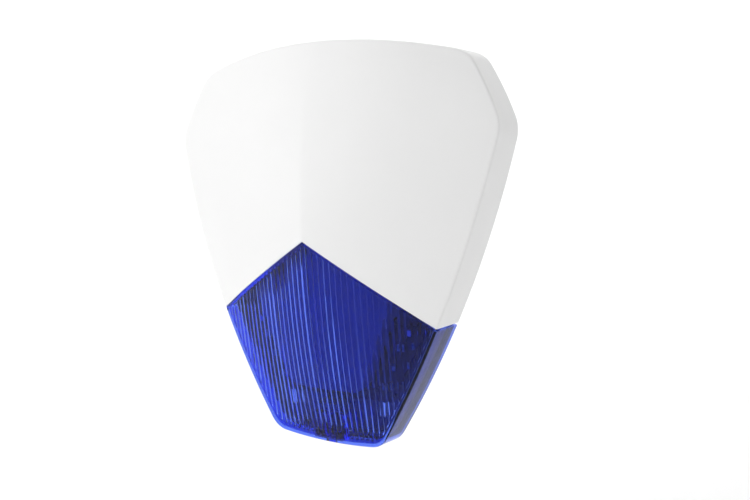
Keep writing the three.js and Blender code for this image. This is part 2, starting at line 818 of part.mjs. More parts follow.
function makeSounderRing() {
  const rim = sounderRadius - 3 - gap;
  return turnedOut([0, sounderZ], [[rim - 3, 12.4], [rim, 12.4], [rim, 14.9], [rim - 3, 14.9]], 28);
}

function makeSounderScrew(place) {
  return screw(place, chamberBack + 2 + gap, plateBack + 0.3);
}

// ---------------------------------------------------------------- inner chassis
// The chassis outline, wide at its top, with clipped corners, moved in by inset.
function chassisOutline(inset) {
  const top = chassisTopZ - inset;
  const bottom = chassisBottomZ + inset;
  const taper = (chassisTopHalf - chassisBottomHalf) / chassisHeight;
  const sideShift = inset * Math.hypot(1, taper);
  const halfAt = (z) => chassisBottomHalf + taper * (z - chassisBottomZ) - sideShift;
  const clip = 5;
  const right = [
    [halfAt(top) - clip, top],
    [halfAt(top - clip * 0.3) - clip * 0.3, top - clip * 0.3],
    [halfAt(top - clip), top - clip],
    [halfAt(bottom + clip), bottom + clip],
    [halfAt(bottom + clip * 0.3) - clip * 0.3, bottom + clip * 0.3],
    [halfAt(bottom) - clip, bottom],
  ];
  return [...right, ...right.map(([x, z]) => [-x, z]).reverse()];
}

const chassisBack = plateFront + gap + 1 + gap;

function makeChassisGasket() {
  const outer = prism(chassisOutline(-0.4), plateFront + gap, plateFront + gap + 1);
  return outer.subtract(prism(chassisOutline(chassisWall + 0.4), 0, 10));
}

function makeInnerChassis() {
  const outside = prism(chassisOutline(0), chassisBack, 80).intersect(envelope(6, chassisBehindFace));
  const inside = prism(chassisOutline(chassisWall), 0, 80)
    .intersect(envelope(6, chassisBehindFace + chassisWall));
  const posts = chassisPosts.map((place) => {
    const body = rod(place, 4, chassisBack, faceDepth(...place), 12).intersect(outside);
    return body.subtract(rod(place, screwShank + gap, 0, chassisBack + 12, 10));
  });
  const leadHole = uprightRod([-30, 14], 2, chassisTopZ - 6, chassisTopZ + 6, 12);
  return wholeBody(join(outside.subtract(inside), ...posts).subtract(leadHole));
}

// Entered from the housing's rear, so the head lies between the plate and the wall.
function makeChassisScrew(place) {
  return screw(place, plateBack - 0.2, chassisBack + 10, screwShank, 2.4);
}

// ---------------------------------------------------------------- strobe board
const ledBoardBottomZ = chassisBottomZ - 8;
const ledHeights = [ledBoardTopZ - 16, ledBoardTopZ - 31, ledBoardTopZ - 46];

// Middle of the strobe board's arm at a height, between the chassis and the rim.
function armMiddle(z) {
  const taper = (chassisTopHalf - chassisBottomHalf) / chassisHeight;
  const chassisHalf = chassisBottomHalf + taper * (z - chassisBottomZ);
  return (chassisHalf + halfWidth(z) - 12) / 2;
}

const ledPlaces = [-1, 1].flatMap((side) => ledHeights.map((z) => [side * armMiddle(z), z]));

function makeLedBoard() {
  const around = prism(outline(13), ledBoardBack, ledBoardFront);
  const band = block([-150, 150], [0, 50], [ledBoardBottomZ, ledBoardTopZ]);
  const holes = ledPosts.map((place) => rod(place, screwShank + gap, 0, 20, 10));
  return cut(around.intersect(band), prism(chassisOutline(-1.5), 0, 50), ...holes);
}

function makeLed([x, z]) {
  const base = ledBoardFront + gap;
  const package_ = block([x - 2.6, x + 2.6], [base, base + 1.4], [z - 2.6, z + 2.6]);
  const dome = turnedOut([x, z], [
    [0, base + 1],
    [2.1, base + 1],
    [2.1, base + 1.8],
    [1.6, base + 2.9],
    [0.8, base + 3.4],
    [0, base + 3.5],
  ], 12);
  return package_.add(dome);
}

function makeLedBoardScrew(place) {
  return screw(place, ledBoardFront + gap, 5.5);
}

// ---------------------------------------------------------------- main board and what is on it
function makeMainBoard() {
  const board = block([-boardHalf, boardHalf], [boardBack, boardFront], [boardBottomZ, boardTopZ]);
  const places = [...boardPosts, ...boardPegs];
  return cut(board, ...places.map((place) => rod(place, screwShank + gap, 0, 20, 10)));
}

function makeBoardScrew(place) {
  return screw(place, boardFront + gap, 5.5);
}

function makeShieldCan() {
  const z = boardTopZ - 27;
  const body = block([-62, -36], [onBoard, onBoard + 3], [z, z + 20]);
  const hollow = block([-61.6, -36.4], [onBoard - 1, onBoard + 2.6], [z + 0.4, z + 19.6]);
  return body.subtract(hollow);
}

function makeControllerChip() {
  const z = boardTopZ - 22;
  return block([-24, -12], [onBoard, onBoard + 1.4], [z, z + 12]);
}

// A close-wound coil on its former, with raised cheeks.
function makeAntennaCoil() {
  const z = boardTopZ - 6;
  return turnedAcross([onBoard + 3.6, z], [
    [0, 28],
    [3.6, 28],
    [3.6, 29.2],
    [2.8, 29.2],
    [2.8, 50.8],
    [3.6, 50.8],
    [3.6, 52],
    [0, 52],
  ], 16);
}

function makeTerminalBlock() {
  const start = -8;
  const pitch = 6;
  const ways = 5;
  const z = boardTopZ - 13;
  const front = onBoard + 10;
  const body = block([start, start + pitch * ways], [onBoard, front], [z, z + 9]);
  const openings = [...Array(ways).keys()].flatMap((i) => {
    const x = start + pitch * (i + 0.5);
    return [
      block([x - 2, x + 2], [onBoard + 2, onBoard + 6], [z + 3, z + 10]),
      rod([x, z + 4.5], 1.8, front - 1.5, front + 1, 10),
    ];
  });
  return cut(body, ...openings);
}

const switchPlace = [34, boardBottomZ + 6];
const switchTravel = 3;
const sliderHalf = 1.3;

function makePowerSwitchBody() {
  const [x, z] = switchPlace;
  const body = block([x - 3, x + 8], [onBoard, onBoard + 4], [z - 2.6, z + 2.6]);
  const slotEnd = x + switchTravel + sliderHalf + gap;
  const slot = block([x - sliderHalf - gap, slotEnd], [onBoard + 2, onBoard + 6], [z - 1.2, z + 1.2]);
  return body.subtract(slot);
}

function makePowerSwitchSlider() {
  const [x, z] = switchPlace;
  return block([x - sliderHalf, x + sliderHalf], [onBoard + 2 + gap, onBoard + 7], [z - 0.9, z + 0.9]);
}

const buttonPlace = [6, boardBottomZ + 6];
const buttonRadius = 1.7;

function makePairingButtonBody() {
  const [x, z] = buttonPlace;
  const body = block([x - 3, x + 3], [onBoard, onBoard + 3.4], [z - 3, z + 3]);
  return body.subtract(rod(buttonPlace, buttonRadius + gap, onBoard + 1, onBoard + 5, 16));
}

function makePairingButton() {
  return rod(buttonPlace, buttonRadius, onBoard + 2, onBoard + 5, 16);
}

function makeTamperSwitch() {
  const [x, z] = tamperSwitch;
  const body = block([x - 4, x + 4], [onBoard, onBoard + 6], [z - 4, z + 4]);
  return body.subtract(rod(tamperSwitch, 1.6 + gap, onBoard + 1.5, onBoard + 8, 12));
}

function makeTamperPlunger() {
  return turnedOut(tamperSwitch, [
    [0, onBoard + 3.4],
    [1.6, onBoard + 3.4],
    [1.6, coverTamperTip - 1],
    [1, coverTamperTip],
    [0, coverTamperTip],
  ], 16);
}

// ---------------------------------------------------------------- batteries
const trayBack = plateFront + gap;
const trayFloor = 1.6;
const trayFront = 17;
const cellDepth = trayBack + trayFloor + 0.4 + cellDiameter / 2;
const cellBottomZ = trayBottomZ + trayEndWall + 3.2;
const cellPitch = cellDiameter + 1.6;
const cellX = [...Array(cellCount).keys()].map((i) => (i - (cellCount - 1) / 2) * cellPitch);

function makeBatteryTray() {
  const height = [trayBottomZ, trayBottomZ + trayHeight];
  const inner = [height[0] + trayEndWall, height[1] - trayEndWall];
  const body = block([-trayHalf, trayHalf], [trayBack, trayFront], height);
  const inside = trayHalf - 1.6;
  const hollow = block([-inside, inside], [trayBack + trayFloor, 30], inner);
  const dip = block([-trayHalf + 12, trayHalf - 12], [trayFront - 3, 30], [height[0] - 1, height[1] + 1]);
  const ribs = cellX.slice(1).map((x) => {
    const middle = x - cellPitch / 2;
    return block([middle - 0.4, middle + 0.4], [trayBack + 0.5, 10], [inner[0] + 8, inner[1] - 8]);
  });
  const ears = trayPosts.map(([x, z]) => {
    const root = Math.sign(x) * (trayHalf - 1);
    const xs = [Math.min(root, x + 4 * Math.sign(x)), Math.max(root, x + 4 * Math.sign(x))];
    return block(xs, [trayBack, trayBack + 2], [z - 4, z + 4]);
  });
  const holes = trayPosts.map((place) => rod(place, screwShank + gap, 0, 10, 10));
  return cut(join(cut(body, hollow, dip), ...ribs, ...ears), ...holes);
}

function makeTrayScrew(place) {
  return screw(place, trayBack + 2 + gap, plateBack + 0.3);
}

// A lithium cell with its positive cap, which points up or down.
function makeBattery(index) {
  const radius = cellDiameter / 2;
  const top = cellBottomZ + cellLength;
  const up = index % 2 === 0;
  const profile = [
    [0, 0],
    [radius - 0.6, 0],
    [radius, 0.6],
    [radius, cellLength - 1.7],
    [radius - 0.7, cellLength - 1],
    [3.4, cellLength - 1],
    [3.2, cellLength],
    [0, cellLength],
  ].map(([r, h]) => [r, up ? cellBottomZ + h : top - h]);
  return turnedUp([cellX[index], cellDepth], profile, 20);
}

function makeContactStrip() {
  const z = trayBottomZ + trayEndWall + gap;
  const half = trayHalf - 3;
  const strip = block([-half, half], [trayBack + trayFloor + gap, cellDepth + 3], [z, z + 0.5]);
  const pads = cellX.map((x) => uprightRod([x, cellDepth], 2.4, z + 0.2, cellBottomZ - gap, 12));
  return join(strip, ...pads);
}

// One strip with a bent leaf for each cell.
function makeLeafSprings() {
  const z = trayBottomZ + trayHeight - trayEndWall - gap;
  const half = trayHalf - 3;
  const start = trayBack + trayFloor + gap;
  const strip = block([-half, half], [start, cellDepth + 3], [z - 0.5, z]);
  const touch = cellBottomZ + cellLength + gap;
  const leaves = cellX.map((x) => {
    const profile = [
      [start, z - 0.2],
      [start, z - 0.9],
      [cellDepth, touch],
      [cellDepth + 3.5, touch + 1.4],
      [cellDepth + 3.3, touch + 1.8],
      [cellDepth, touch + 0.5],
      [start + 2, z - 0.2],
    ];
    return profileAlongX(profile, x - 3, x + 3);
  });
  return join(strip, ...leaves);
}

// ---------------------------------------------------------------- leads
// A two-core lead with a plug that stands on the main board.
function lead(plugX, plugZ, route, radius, steps) {
  const plug = block([plugX - 3, plugX + 3], [onBoard, onBoard + 5], [plugZ - 2.5, plugZ + 2.5]);
  return plug.add(wire([[plugX, onBoard + 3, plugZ], ...route], radius, steps, 4));
}

function makeSounderLead() {
  const z = boardBottomZ + 5;
  return lead(-30, z, [
    [-30, onBoard + 3, z - 5],
    [-30, 14, chassisTopZ + 3],
    [-30, 14, chassisTopZ - 5],
    [-27, 15.5, chassisTopZ - 11],
  ], 1.1, 12);
}

function makeLedLead() {
  const z = boardBottomZ + 5;
  const besideRim = (away, depth, height) => [halfWidth(height) - away, depth, height];
  return lead(62, z, [
    [64, onBoard + 3, z - 5],
    besideRim(27, 13, chassisTopZ - 7),
    besideRim(25, 12, chassisTopZ - 32),
    besideRim(20, 12, ledBoardTopZ + 12),
    besideRim(17.5, ledBoardFront + 1.6, ledBoardTopZ - 5),
  ], 1.1, 16);
}

function makeBatteryLead() {
  const z = boardTopZ - 5;
  return lead(-24, z, [
    [-24, onBoard + 5.5, z + 4],
    [-24, onBoard + 6, trayBottomZ - 3],
    [-24, onBoard + 2, trayBottomZ - 0.4],
  ], 1.1, 10);
}

// ---------------------------------------------------------------- assembly
const finishes = {
  white: { color: 0xf2f3f4, roughness: 0.45, metalness: 0 },
  blueLens: { color: 0x1633c8, roughness: 0.12, metalness: 0 },
  housing: { color: 0x9a9da1, roughness: 0.55, metalness: 0 },
  chassis: { color: 0xd5d7da, roughness: 0.5, metalness: 0 },
  seal: { color: 0x2a2c2e, roughness: 0.85, metalness: 0 },
  steel: { color: 0xb9bcc0, roughness: 0.3, metalness: 1 },
  board: { color: 0x15603a, roughness: 0.45, metalness: 0 },
  ledBoard: { color: 0x1b1d24, roughness: 0.5, metalness: 0 },
  led: { color: 0xf4e58a, roughness: 0.3, metalness: 0 },
  blackPlastic: { color: 0x1c1d1f, roughness: 0.5, metalness: 0 },
  brass: { color: 0xc6a04c, roughness: 0.35, metalness: 1 },
  cell: { color: 0x3c6fb4, roughness: 0.35, metalness: 0 },
  vial: { color: 0xc5e84c, roughness: 0.1, metalness: 0 },
  terminal: { color: 0x2f8a55, roughness: 0.5, metalness: 0 },
  copper: { color: 0xb56a3a, roughness: 0.35, metalness: 1 },
  wire: { color: 0xb2231d, roughness: 0.5, metalness: 0 },
};
const materials = Object.fromEntries(
  Object.entries(finishes).map(([name, look]) => [name, new THREE.MeshStandardMaterial(look)]),
);

const siren = new THREE.Group();

function addMesh(group, name, solid, material) {
  const mesh = new THREE.Mesh(toGeometry(solid), materials[material]);
  mesh.name = name;
  group.add(mesh);
}

function addEach(group, name, places, make, material) {
  places.forEach((spot, i) => addMesh(group, name + "_" + (i + 1), make(spot), material));
}

const cover = new THREE.Group();
addMesh(cover, "front_cover", makeFrontCover(), "white");
addMesh(cover, "strobe_lens", makeStrobeLens(), "blueLens");
addMesh(cover, "lens_seal", makeLensSeal(), "seal");
addEach(cover, "lens_screw", [-1, 1], makeLensScrew, "steel");
addMesh(cover, "cover_lock_screw", makeLockScrew(), "steel");
addMesh(cover, "lock_screw_washer", makeLockWasher(), "steel");

const housing = new THREE.Group();
addMesh(housing, "rear_housing", makeRearHousing(), "housing");
addMesh(housing, "cable_grommet", makeCableGrommet(), "seal");
addMesh(housing, "level_vial", makeLevelVial(), "vial");
addMesh(housing, "wall_tamper_plunger", makeWallTamperPlunger(), "blackPlastic");
addMesh(housing, "wall_tamper_spring", makeWallTamperSpring(), "steel");
addMesh(housing, "wall_tamper_cap", makeWallTamperCap(), "blackPlastic");

const sounder = new THREE.Group();
addMesh(sounder, "insect_screen", makeInsectScreen(), "steel");
addMesh(sounder, "sounder_chamber", makeSounderChamber(), "blackPlastic");
addMesh(sounder, "piezo_disc", makePiezoDisc(), "brass");
addMesh(sounder, "sounder_ring", makeSounderRing(), "blackPlastic");
addEach(sounder, "sounder_screw", sounderPosts, makeSounderScrew, "steel");

const chassis = new THREE.Group();
addMesh(chassis, "chassis_gasket", makeChassisGasket(), "seal");
addMesh(chassis, "inner_chassis", makeInnerChassis(), "chassis");
addEach(chassis, "chassis_screw", chassisPosts, makeChassisScrew, "steel");

const strobe = new THREE.Group();
addMesh(strobe, "led_board", makeLedBoard(), "ledBoard");
addEach(strobe, "led", ledPlaces, makeLed, "led");
addEach(strobe, "led_board_screw", ledPosts, makeLedBoardScrew, "steel");

const electronics = new THREE.Group();
addMesh(electronics, "main_board", makeMainBoard(), "board");
addEach(electronics, "board_screw", boardPosts, makeBoardScrew, "steel");
addMesh(electronics, "radio_shield_can", makeShieldCan(), "steel");
addMesh(electronics, "controller_chip", makeControllerChip(), "blackPlastic");
addMesh(electronics, "antenna_coil", makeAntennaCoil(), "copper");
addMesh(electronics, "terminal_block", makeTerminalBlock(), "terminal");
addMesh(electronics, "power_switch_body", makePowerSwitchBody(), "blackPlastic");
addMesh(electronics, "power_switch_slider", makePowerSwitchSlider(), "white");
addMesh(electronics, "pairing_button_body", makePairingButtonBody(), "steel");
addMesh(electronics, "pairing_button", makePairingButton(), "blackPlastic");
addMesh(electronics, "cover_tamper_switch", makeTamperSwitch(), "blackPlastic");
addMesh(electronics, "cover_tamper_plunger", makeTamperPlunger(), "white");

const power = new THREE.Group();
addMesh(power, "battery_tray", makeBatteryTray(), "blackPlastic");
addEach(power, "battery_tray_screw", trayPosts, makeTrayScrew, "steel");
addEach(power, "battery", [...cellX.keys()], makeBattery, "cell");
addMesh(power, "battery_contact_strip", makeContactStrip(), "steel");
addMesh(power, "battery_leaf_springs", makeLeafSprings(), "steel");

const leads = new THREE.Group();
addMesh(leads, "sounder_lead", makeSounderLead(), "wire");
addMesh(leads, "led_lead", makeLedLead(), "wire");
addMesh(leads, "battery_lead", makeBatteryLead(), "wire");

siren.add(cover, housing, sounder, chassis, strobe, electronics, power, leads);

export default siren;
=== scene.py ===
"""Looks of a wall-hung alarm siren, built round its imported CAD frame.

Metres, in the CAD frame: +X right, +Y into the wall, +Z up, origin on the wall plane.
"Depth" is the distance out from the wall, so a point at depth d has y = -d.
"""
import json
import math

import bmesh
import bpy
import numpy as np
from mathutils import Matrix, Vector


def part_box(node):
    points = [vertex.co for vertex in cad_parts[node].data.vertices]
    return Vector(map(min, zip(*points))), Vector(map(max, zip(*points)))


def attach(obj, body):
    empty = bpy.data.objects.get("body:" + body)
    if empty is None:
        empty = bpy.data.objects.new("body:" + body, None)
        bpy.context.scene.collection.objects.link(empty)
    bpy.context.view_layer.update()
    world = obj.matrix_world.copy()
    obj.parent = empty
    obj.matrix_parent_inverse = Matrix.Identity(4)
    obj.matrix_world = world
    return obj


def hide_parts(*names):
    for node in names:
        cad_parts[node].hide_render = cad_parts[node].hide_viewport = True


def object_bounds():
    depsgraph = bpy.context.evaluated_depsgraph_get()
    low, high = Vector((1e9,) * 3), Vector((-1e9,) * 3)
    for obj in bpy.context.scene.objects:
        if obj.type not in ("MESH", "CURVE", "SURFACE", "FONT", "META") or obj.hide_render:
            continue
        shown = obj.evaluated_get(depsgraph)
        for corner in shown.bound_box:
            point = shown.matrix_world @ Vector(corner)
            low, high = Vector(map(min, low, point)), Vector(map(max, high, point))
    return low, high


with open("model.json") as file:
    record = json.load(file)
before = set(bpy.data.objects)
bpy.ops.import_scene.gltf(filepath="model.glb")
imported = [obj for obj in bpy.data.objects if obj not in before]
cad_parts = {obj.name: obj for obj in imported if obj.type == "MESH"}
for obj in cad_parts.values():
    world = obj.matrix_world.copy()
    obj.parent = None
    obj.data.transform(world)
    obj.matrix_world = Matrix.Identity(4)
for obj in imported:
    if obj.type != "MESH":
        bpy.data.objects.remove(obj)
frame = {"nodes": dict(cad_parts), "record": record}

cad_low, cad_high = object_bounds()
MM = 0.001

# ------------------------------------------------------------------ sizes of the cover, in metres
COVER_HEIGHT = 285 * MM
COVER_WIDTH = 260.2 * MM
TOP_CORNER_INSET = 23.8 * MM
TOP_CORNER_DROP = 12.8 * MM
SHOULDER_DROP = 60 * MM
BOTTOM_CORNER_HALF = 45.5 * MM
BOTTOM_CORNER_RISE = 3.6 * MM
UPPER_SIDE_BULGE = 1.5 * MM
LOWER_SIDE_BULGE = 9.3 * MM
DRAFT = 1.9 * MM
KEEL_AT_APEX = 55.7 * MM
KEEL_AT_TOP = 43.3 * MM
KEEL_AT_BOTTOM = 23.3 * MM
KEEL_SLOPE = 0.074
EDGE_DEPTH = 31.2 * MM
EDGE_MIDDLE_Z = 11.8 * MM
EDGE_FALL = 0.316
CREASE_AT_APEX = 0.5
CREASE_AT_TOP = 0.05
CREASE_AT_BOTTOM = 0.25
KEEL_SOFTNESS = 1.0 * MM
APEX_ABOVE_BOTTOM = 149.75 * MM
LENS_CORNER_DROP = 55.75 * MM
LENS_CORNER_HALF = 90 * MM
COVER_BACK = 4.2 * MM
WALL = 2.5 * MM
EDGE_RADIUS = 1.3 * MM
SEAM = 0.2 * MM
RIB_PITCH = 4.2 * MM
RIB_DEPTH = 1.1 * MM
RIB_BORDER = 3.2 * MM
RIB_STEPS = 6
RIB_FADE_START = 0.6
RIB_FADE_SHARE = 0.4
OUTER_SKIN = (0, 0, EDGE_RADIUS)
INNER_SKIN = (WALL, WALL + 0.1 * MM, 0.5 * MM)

# ------------------------------------------------------------------ sizes of the fittings
HINGE_HOOK_X = 25 * MM
HINGE_HOOK_HALF = 7 * MM
HINGE_DROP = 4.6 * MM
HINGE_DEPTH = 7.9 * MM
HOOK_INNER = 1.9 * MM
HOOK_OUTER = 3.6 * MM
HOOK_OPENING = math.pi / 2.2
EAR_HALF = 4.5 * MM
EAR_THICKNESS = 2 * MM
BLOCK_ROUNDING = 0.4 * MM
LOCK_DEPTH = 18 * MM
LOCK_MOUTH = 4.5 * MM
LOCK_BORE = 2.4 * MM
SEAL_START_DROP = 20 * MM

TOP_Z = COVER_HEIGHT / 2
BOTTOM_Z = -COVER_HEIGHT / 2
SHOULDER_X = COVER_WIDTH / 2
SHOULDER_Z = TOP_Z - SHOULDER_DROP
APEX_Z = BOTTOM_Z + APEX_ABOVE_BOTTOM


# ------------------------------------------------------------------ cover outline and face
def blossom(curve, a, b):
    """Point of a quadratic curve for a == b, and the control point between two values otherwise."""
    start, control, end = (np.asarray(p, float) for p in curve)
    a, b = np.asarray(a, float)[..., None], np.asarray(b, float)[..., None]
    return (1 - a) * (1 - b) * start + ((1 - a) * b + a * (1 - b)) * control + a * b * end


def stretch(curve, a, b):
    """The part of a quadratic curve between two shares, as start, control and end point."""
    return [blossom(curve, a, a), blossom(curve, a, b), blossom(curve, b, b)]


def bulged_side(start, end, bulge):
    """A side that stands out from its chord by the given bulge at its middle."""
    start, end = np.asarray(start, float), np.asarray(end, float)
    along = end - start
    out = np.array([-along[1], along[0]]) / np.hypot(*along)
    return [start, (start + end) / 2 + 2 * bulge * out, end]


def half_outline(samples=160):
    """The right half of the face's outline, top middle to bottom middle, with its outward normals.

    Four sides are joined by quadratic corners. The result is sampled evenly in each curve, and
    the last value is the arc length at the middle of the top corner."""
    top_corner = (SHOULDER_X - TOP_CORNER_INSET, TOP_Z - TOP_CORNER_DROP)
    shoulder = (SHOULDER_X, SHOULDER_Z)
    bottom_corner = (BOTTOM_CORNER_HALF, BOTTOM_Z + BOTTOM_CORNER_RISE)
    top = stretch([(0, TOP_Z), (top_corner[0] / 2, TOP_Z), top_corner], 0, 0.92)
    upper = stretch(bulged_side(top_corner, shoulder, UPPER_SIDE_BULGE), 0.15, 0.87)
    lower = stretch(bulged_side(shoulder, bottom_corner, LOWER_SIDE_BULGE), 0.032, 0.965)
    bottom = stretch([bottom_corner, (bottom_corner[0] / 2, BOTTOM_Z), (0, BOTTOM_Z)], 0.18, 1)
    curves = [
        top, [top[2], top_corner, upper[0]], upper, [upper[2], shoulder, lower[0]],
        lower, [lower[2], bottom_corner, bottom[0]], bottom,
    ]
    t = np.linspace(0, 1, samples, endpoint=False)
    points, normals = [], []
    for curve in curves:
        along = blossom(curve, np.ones_like(t), t) - blossom(curve, np.zeros_like(t), t)
        points.append(blossom(curve, t, t))
        normals.append(np.stack([-along[:, 1], along[:, 0]], 1))
    points.append([[0.0, BOTTOM_Z]])
    normals.append([[0.0, -1.0]])
    points, normals = np.concatenate(points), np.concatenate(normals)
    normals /= np.linalg.norm(normals, axis=1, keepdims=True)
    steps = np.linalg.norm(np.diff(points, axis=0), axis=1)
    length = np.concatenate([[0], np.cumsum(steps)])
    return points, normals, length, length[samples + samples // 2]


OUTLINE, OUTLINE_NORMAL, OUTLINE_LENGTH, TOP_CORNER_LENGTH = half_outline()


def outline_at(s, inset):
    """Points of the outline at signed arc lengths from the top middle, moved in by an inset
    along the normal."""
    slid = OUTLINE - inset * OUTLINE_NORMAL
    x = np.interp(np.abs(s), OUTLINE_LENGTH, slid[:, 0]) * np.sign(s)
    z = np.interp(np.abs(s), OUTLINE_LENGTH, slid[:, 1])
    return x, z


def length_at_height(z, inset):
    """Arc length where the outline's side, moved in by inset, passes a height."""
    slid = (OUTLINE - inset * OUTLINE_NORMAL)[:, 1]
    return np.interp(-z, -slid, OUTLINE_LENGTH)


def soft_min(a, b, radius):
    """The lower of two values, blended where they are nearly equal."""
    return (a + b - np.sqrt((a - b) ** 2 + radius ** 2)) / 2


def half_width(z):
    """Half width of the face at a height: two bulged sides that meet softly at the shoulder."""
    widths = []
    for end_x, end_z, bulge in (
        (SHOULDER_X - TOP_CORNER_INSET, TOP_Z - TOP_CORNER_DROP, UPPER_SIDE_BULGE),
        (BOTTOM_CORNER_HALF, BOTTOM_Z + BOTTOM_CORNER_RISE, LOWER_SIDE_BULGE),
    ):
        share = (z - SHOULDER_Z) / (end_z - SHOULDER_Z)
        slant = math.hypot(end_x - SHOULDER_X, end_z - SHOULDER_Z) / abs(end_z - SHOULDER_Z)
        swell = np.maximum(0, 4 * share * (1 - share)) * bulge * slant
        widths.append(SHOULDER_X + share * (end_x - SHOULDER_X) + swell)
    return soft_min(widths[0], widths[1], 1.5 * MM)


def face_depth(x, z):
    """Depth of the outer face: the keel's depth, less its height over the side edge times a mix
    of the share of the half width and that share squared."""
    rise = z - APEX_Z
    up = rise > 0
    reach = np.where(up, TOP_Z - APEX_Z, BOTTOM_Z - APEX_Z)
    end_depth = np.where(up, KEEL_AT_TOP, KEEL_AT_BOTTOM)
    fall = (KEEL_AT_APEX + KEEL_SLOPE * reach - end_depth) / reach ** 2
    keel = KEEL_AT_APEX + KEEL_SLOPE * rise - fall * rise ** 2
    edge = EDGE_DEPTH - EDGE_FALL * (z - EDGE_MIDDLE_Z) ** 2
    share = rise / reach
    end_crease = np.where(up, CREASE_AT_TOP, CREASE_AT_BOTTOM)
    crease = CREASE_AT_APEX + share * (end_crease - CREASE_AT_APEX)
    w = (np.sqrt(x ** 2 + KEEL_SOFTNESS ** 2) - KEEL_SOFTNESS / 2) / half_width(z)
    return COVER_BACK + keel - (keel - edge) * (crease * w + (1 - crease) * w ** 2)


def chevron_z(x):
    """Height of the joint between cover and lens: it falls in proportion to the distance from
    the middle, as far as the lens's corner."""
    return APEX_Z - LENS_CORNER_DROP * np.minimum(np.abs(x) / LENS_CORNER_HALF, 1)


# ------------------------------------------------------------------ mesh helpers
def new_object(name, vertices, faces, smooth_angle=35):
    """A mesh object at the origin, shaded smooth up to an angle."""
    mesh = bpy.data.meshes.new(name)
    mesh.from_pydata(np.asarray(vertices).tolist(), [], np.asarray(faces).tolist())
    mesh.validate()
    built = bpy.data.objects.new(name, mesh)
    bpy.context.scene.collection.objects.link(built)
    shade(built, smooth_angle)
    return built


def shade(piece, smooth_angle):
    """Shades smooth every edge that bends by less than an angle in degrees."""
    mesh = piece.data
    mesh.polygons.foreach_set("use_smooth", [True] * len(mesh.polygons))
    mesh.set_sharp_from_angle(angle=math.radians(smooth_angle))


def clean(piece, merge=1e-6):
    """Merges doubled vertices, drops collapsed faces and turns every face outwards."""
    work = bmesh.new()
    work.from_mesh(piece.data)
    bmesh.ops.remove_doubles(work, verts=work.verts, dist=merge)
    bmesh.ops.dissolve_degenerate(work, edges=work.edges, dist=merge / 10)
    bmesh.ops.recalc_face_normals(work, faces=work.faces)
    work.to_mesh(piece.data)
    work.free()
    piece.data.update()


def grid_faces(rows, columns, start=0, closed=False):
    """Quads of a grid of vertices stored row by row, joined round each row if closed."""
    spans = columns if closed else columns - 1
    r, c = np.meshgrid(np.arange(rows - 1), np.arange(spans), indexing="ij")
    right = (c + 1) % columns
    row, next_row = r * columns, (r + 1) * columns
    quads = [row + c, row + right, next_row + right, next_row + c]
    return start + np.stack([q.ravel() for q in quads], 1)


def shell(outer, inner, quads):
    """Closes a wall between two like grids: the inner faces are turned round, and quads join
    the two along every edge that only one face has."""
    count = len(outer)
    edges = np.concatenate([quads[:, [i, (i + 1) % 4]] for i in range(4)])
    keys = np.sort(edges, 1)
    _, first, times = np.unique(keys, axis=0, return_index=True, return_counts=True)
    a, b = edges[first[times == 1]].T
    rim = np.stack([b, a, a + count, b + count], 1)
    return np.concatenate([outer, inner]), np.concatenate([quads, quads[:, ::-1] + count, rim])


def depth_points(x, z, depth):
    """Rows of (x, minus depth, z), so a greater depth is further out from the wall."""
    return np.stack([np.ravel(x), -np.ravel(depth), np.ravel(z)], 1)


def lathe(profile, axis, centre, sides=32):
    """A closed profile of (radius, height) pairs turned about an axis through centre."""
    angle = np.linspace(0, 2 * math.pi, sides, endpoint=False)
    radius, height = np.array(profile, float).T
    ring = np.stack([np.cos(angle), np.sin(angle)])
    u = radius[:, None] * ring[0]
    v = radius[:, None] * ring[1]
    h = np.broadcast_to(height[:, None], u.shape)
    order = {"y": (u, h, v), "z": (u, v, h), "x": (h, u, v)}[axis]
    points = np.stack([part.ravel() for part in order], 1) + np.array(centre)
    faces = grid_faces(len(profile), sides, closed=True)
    last = (len(profile) - 1) * sides
    around = np.arange(sides)
    after = (around + 1) % sides
    closing = np.stack([last + around, last + after, after, around], 1)
    return points, np.concatenate([faces, closing])


def rounded_block(low, high, radius, steps=3):
    """A box with rounded edges: a sphere's grid pushed out to the box's corners."""
    low, high = np.array(low, float), np.array(high, float)
    half = (high - low) / 2 - radius
    quarter = np.linspace(0, math.pi / 2, steps + 1)
    t = np.concatenate([quarter - math.pi / 2, quarter])
    p = np.concatenate([quarter + turn * math.pi / 2 for turn in range(4)])
    corner_x = np.repeat([1, -1, -1, 1], steps + 1)
    corner_y = np.repeat([1, 1, -1, -1], steps + 1)
    corner_z = np.repeat([-1, 1], steps + 1)
    x = np.cos(t)[:, None] * np.cos(p) * radius + corner_x * half[0]
    y = np.cos(t)[:, None] * np.sin(p) * radius + corner_y * half[1]
    z = np.broadcast_to((np.sin(t) * radius + corner_z * half[2])[:, None], x.shape)
    points = np.stack([x, y, z], 2) + (low + high) / 2
    return loop_loft(list(points), closed=False)


def join_parts(parts):
    """Several (vertices, faces) pairs as one pair."""
    vertices, faces, start = [], [], 0
    for points, quads in parts:
        vertices.append(points)
        faces.append(np.asarray(quads) + start)
        start += len(points)
    return np.concatenate(vertices), np.concatenate(faces)


def finish_piece(piece, body, slot, material, *nodes):
    """Gives a piece its material and its body, and hides the CAD nodes that it replaces; the slot
    argument is not used.
    """
    piece.data.materials.clear()
    piece.data.materials.append(material)
    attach(piece, body)
    if nodes:
        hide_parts(*nodes)
    return piece


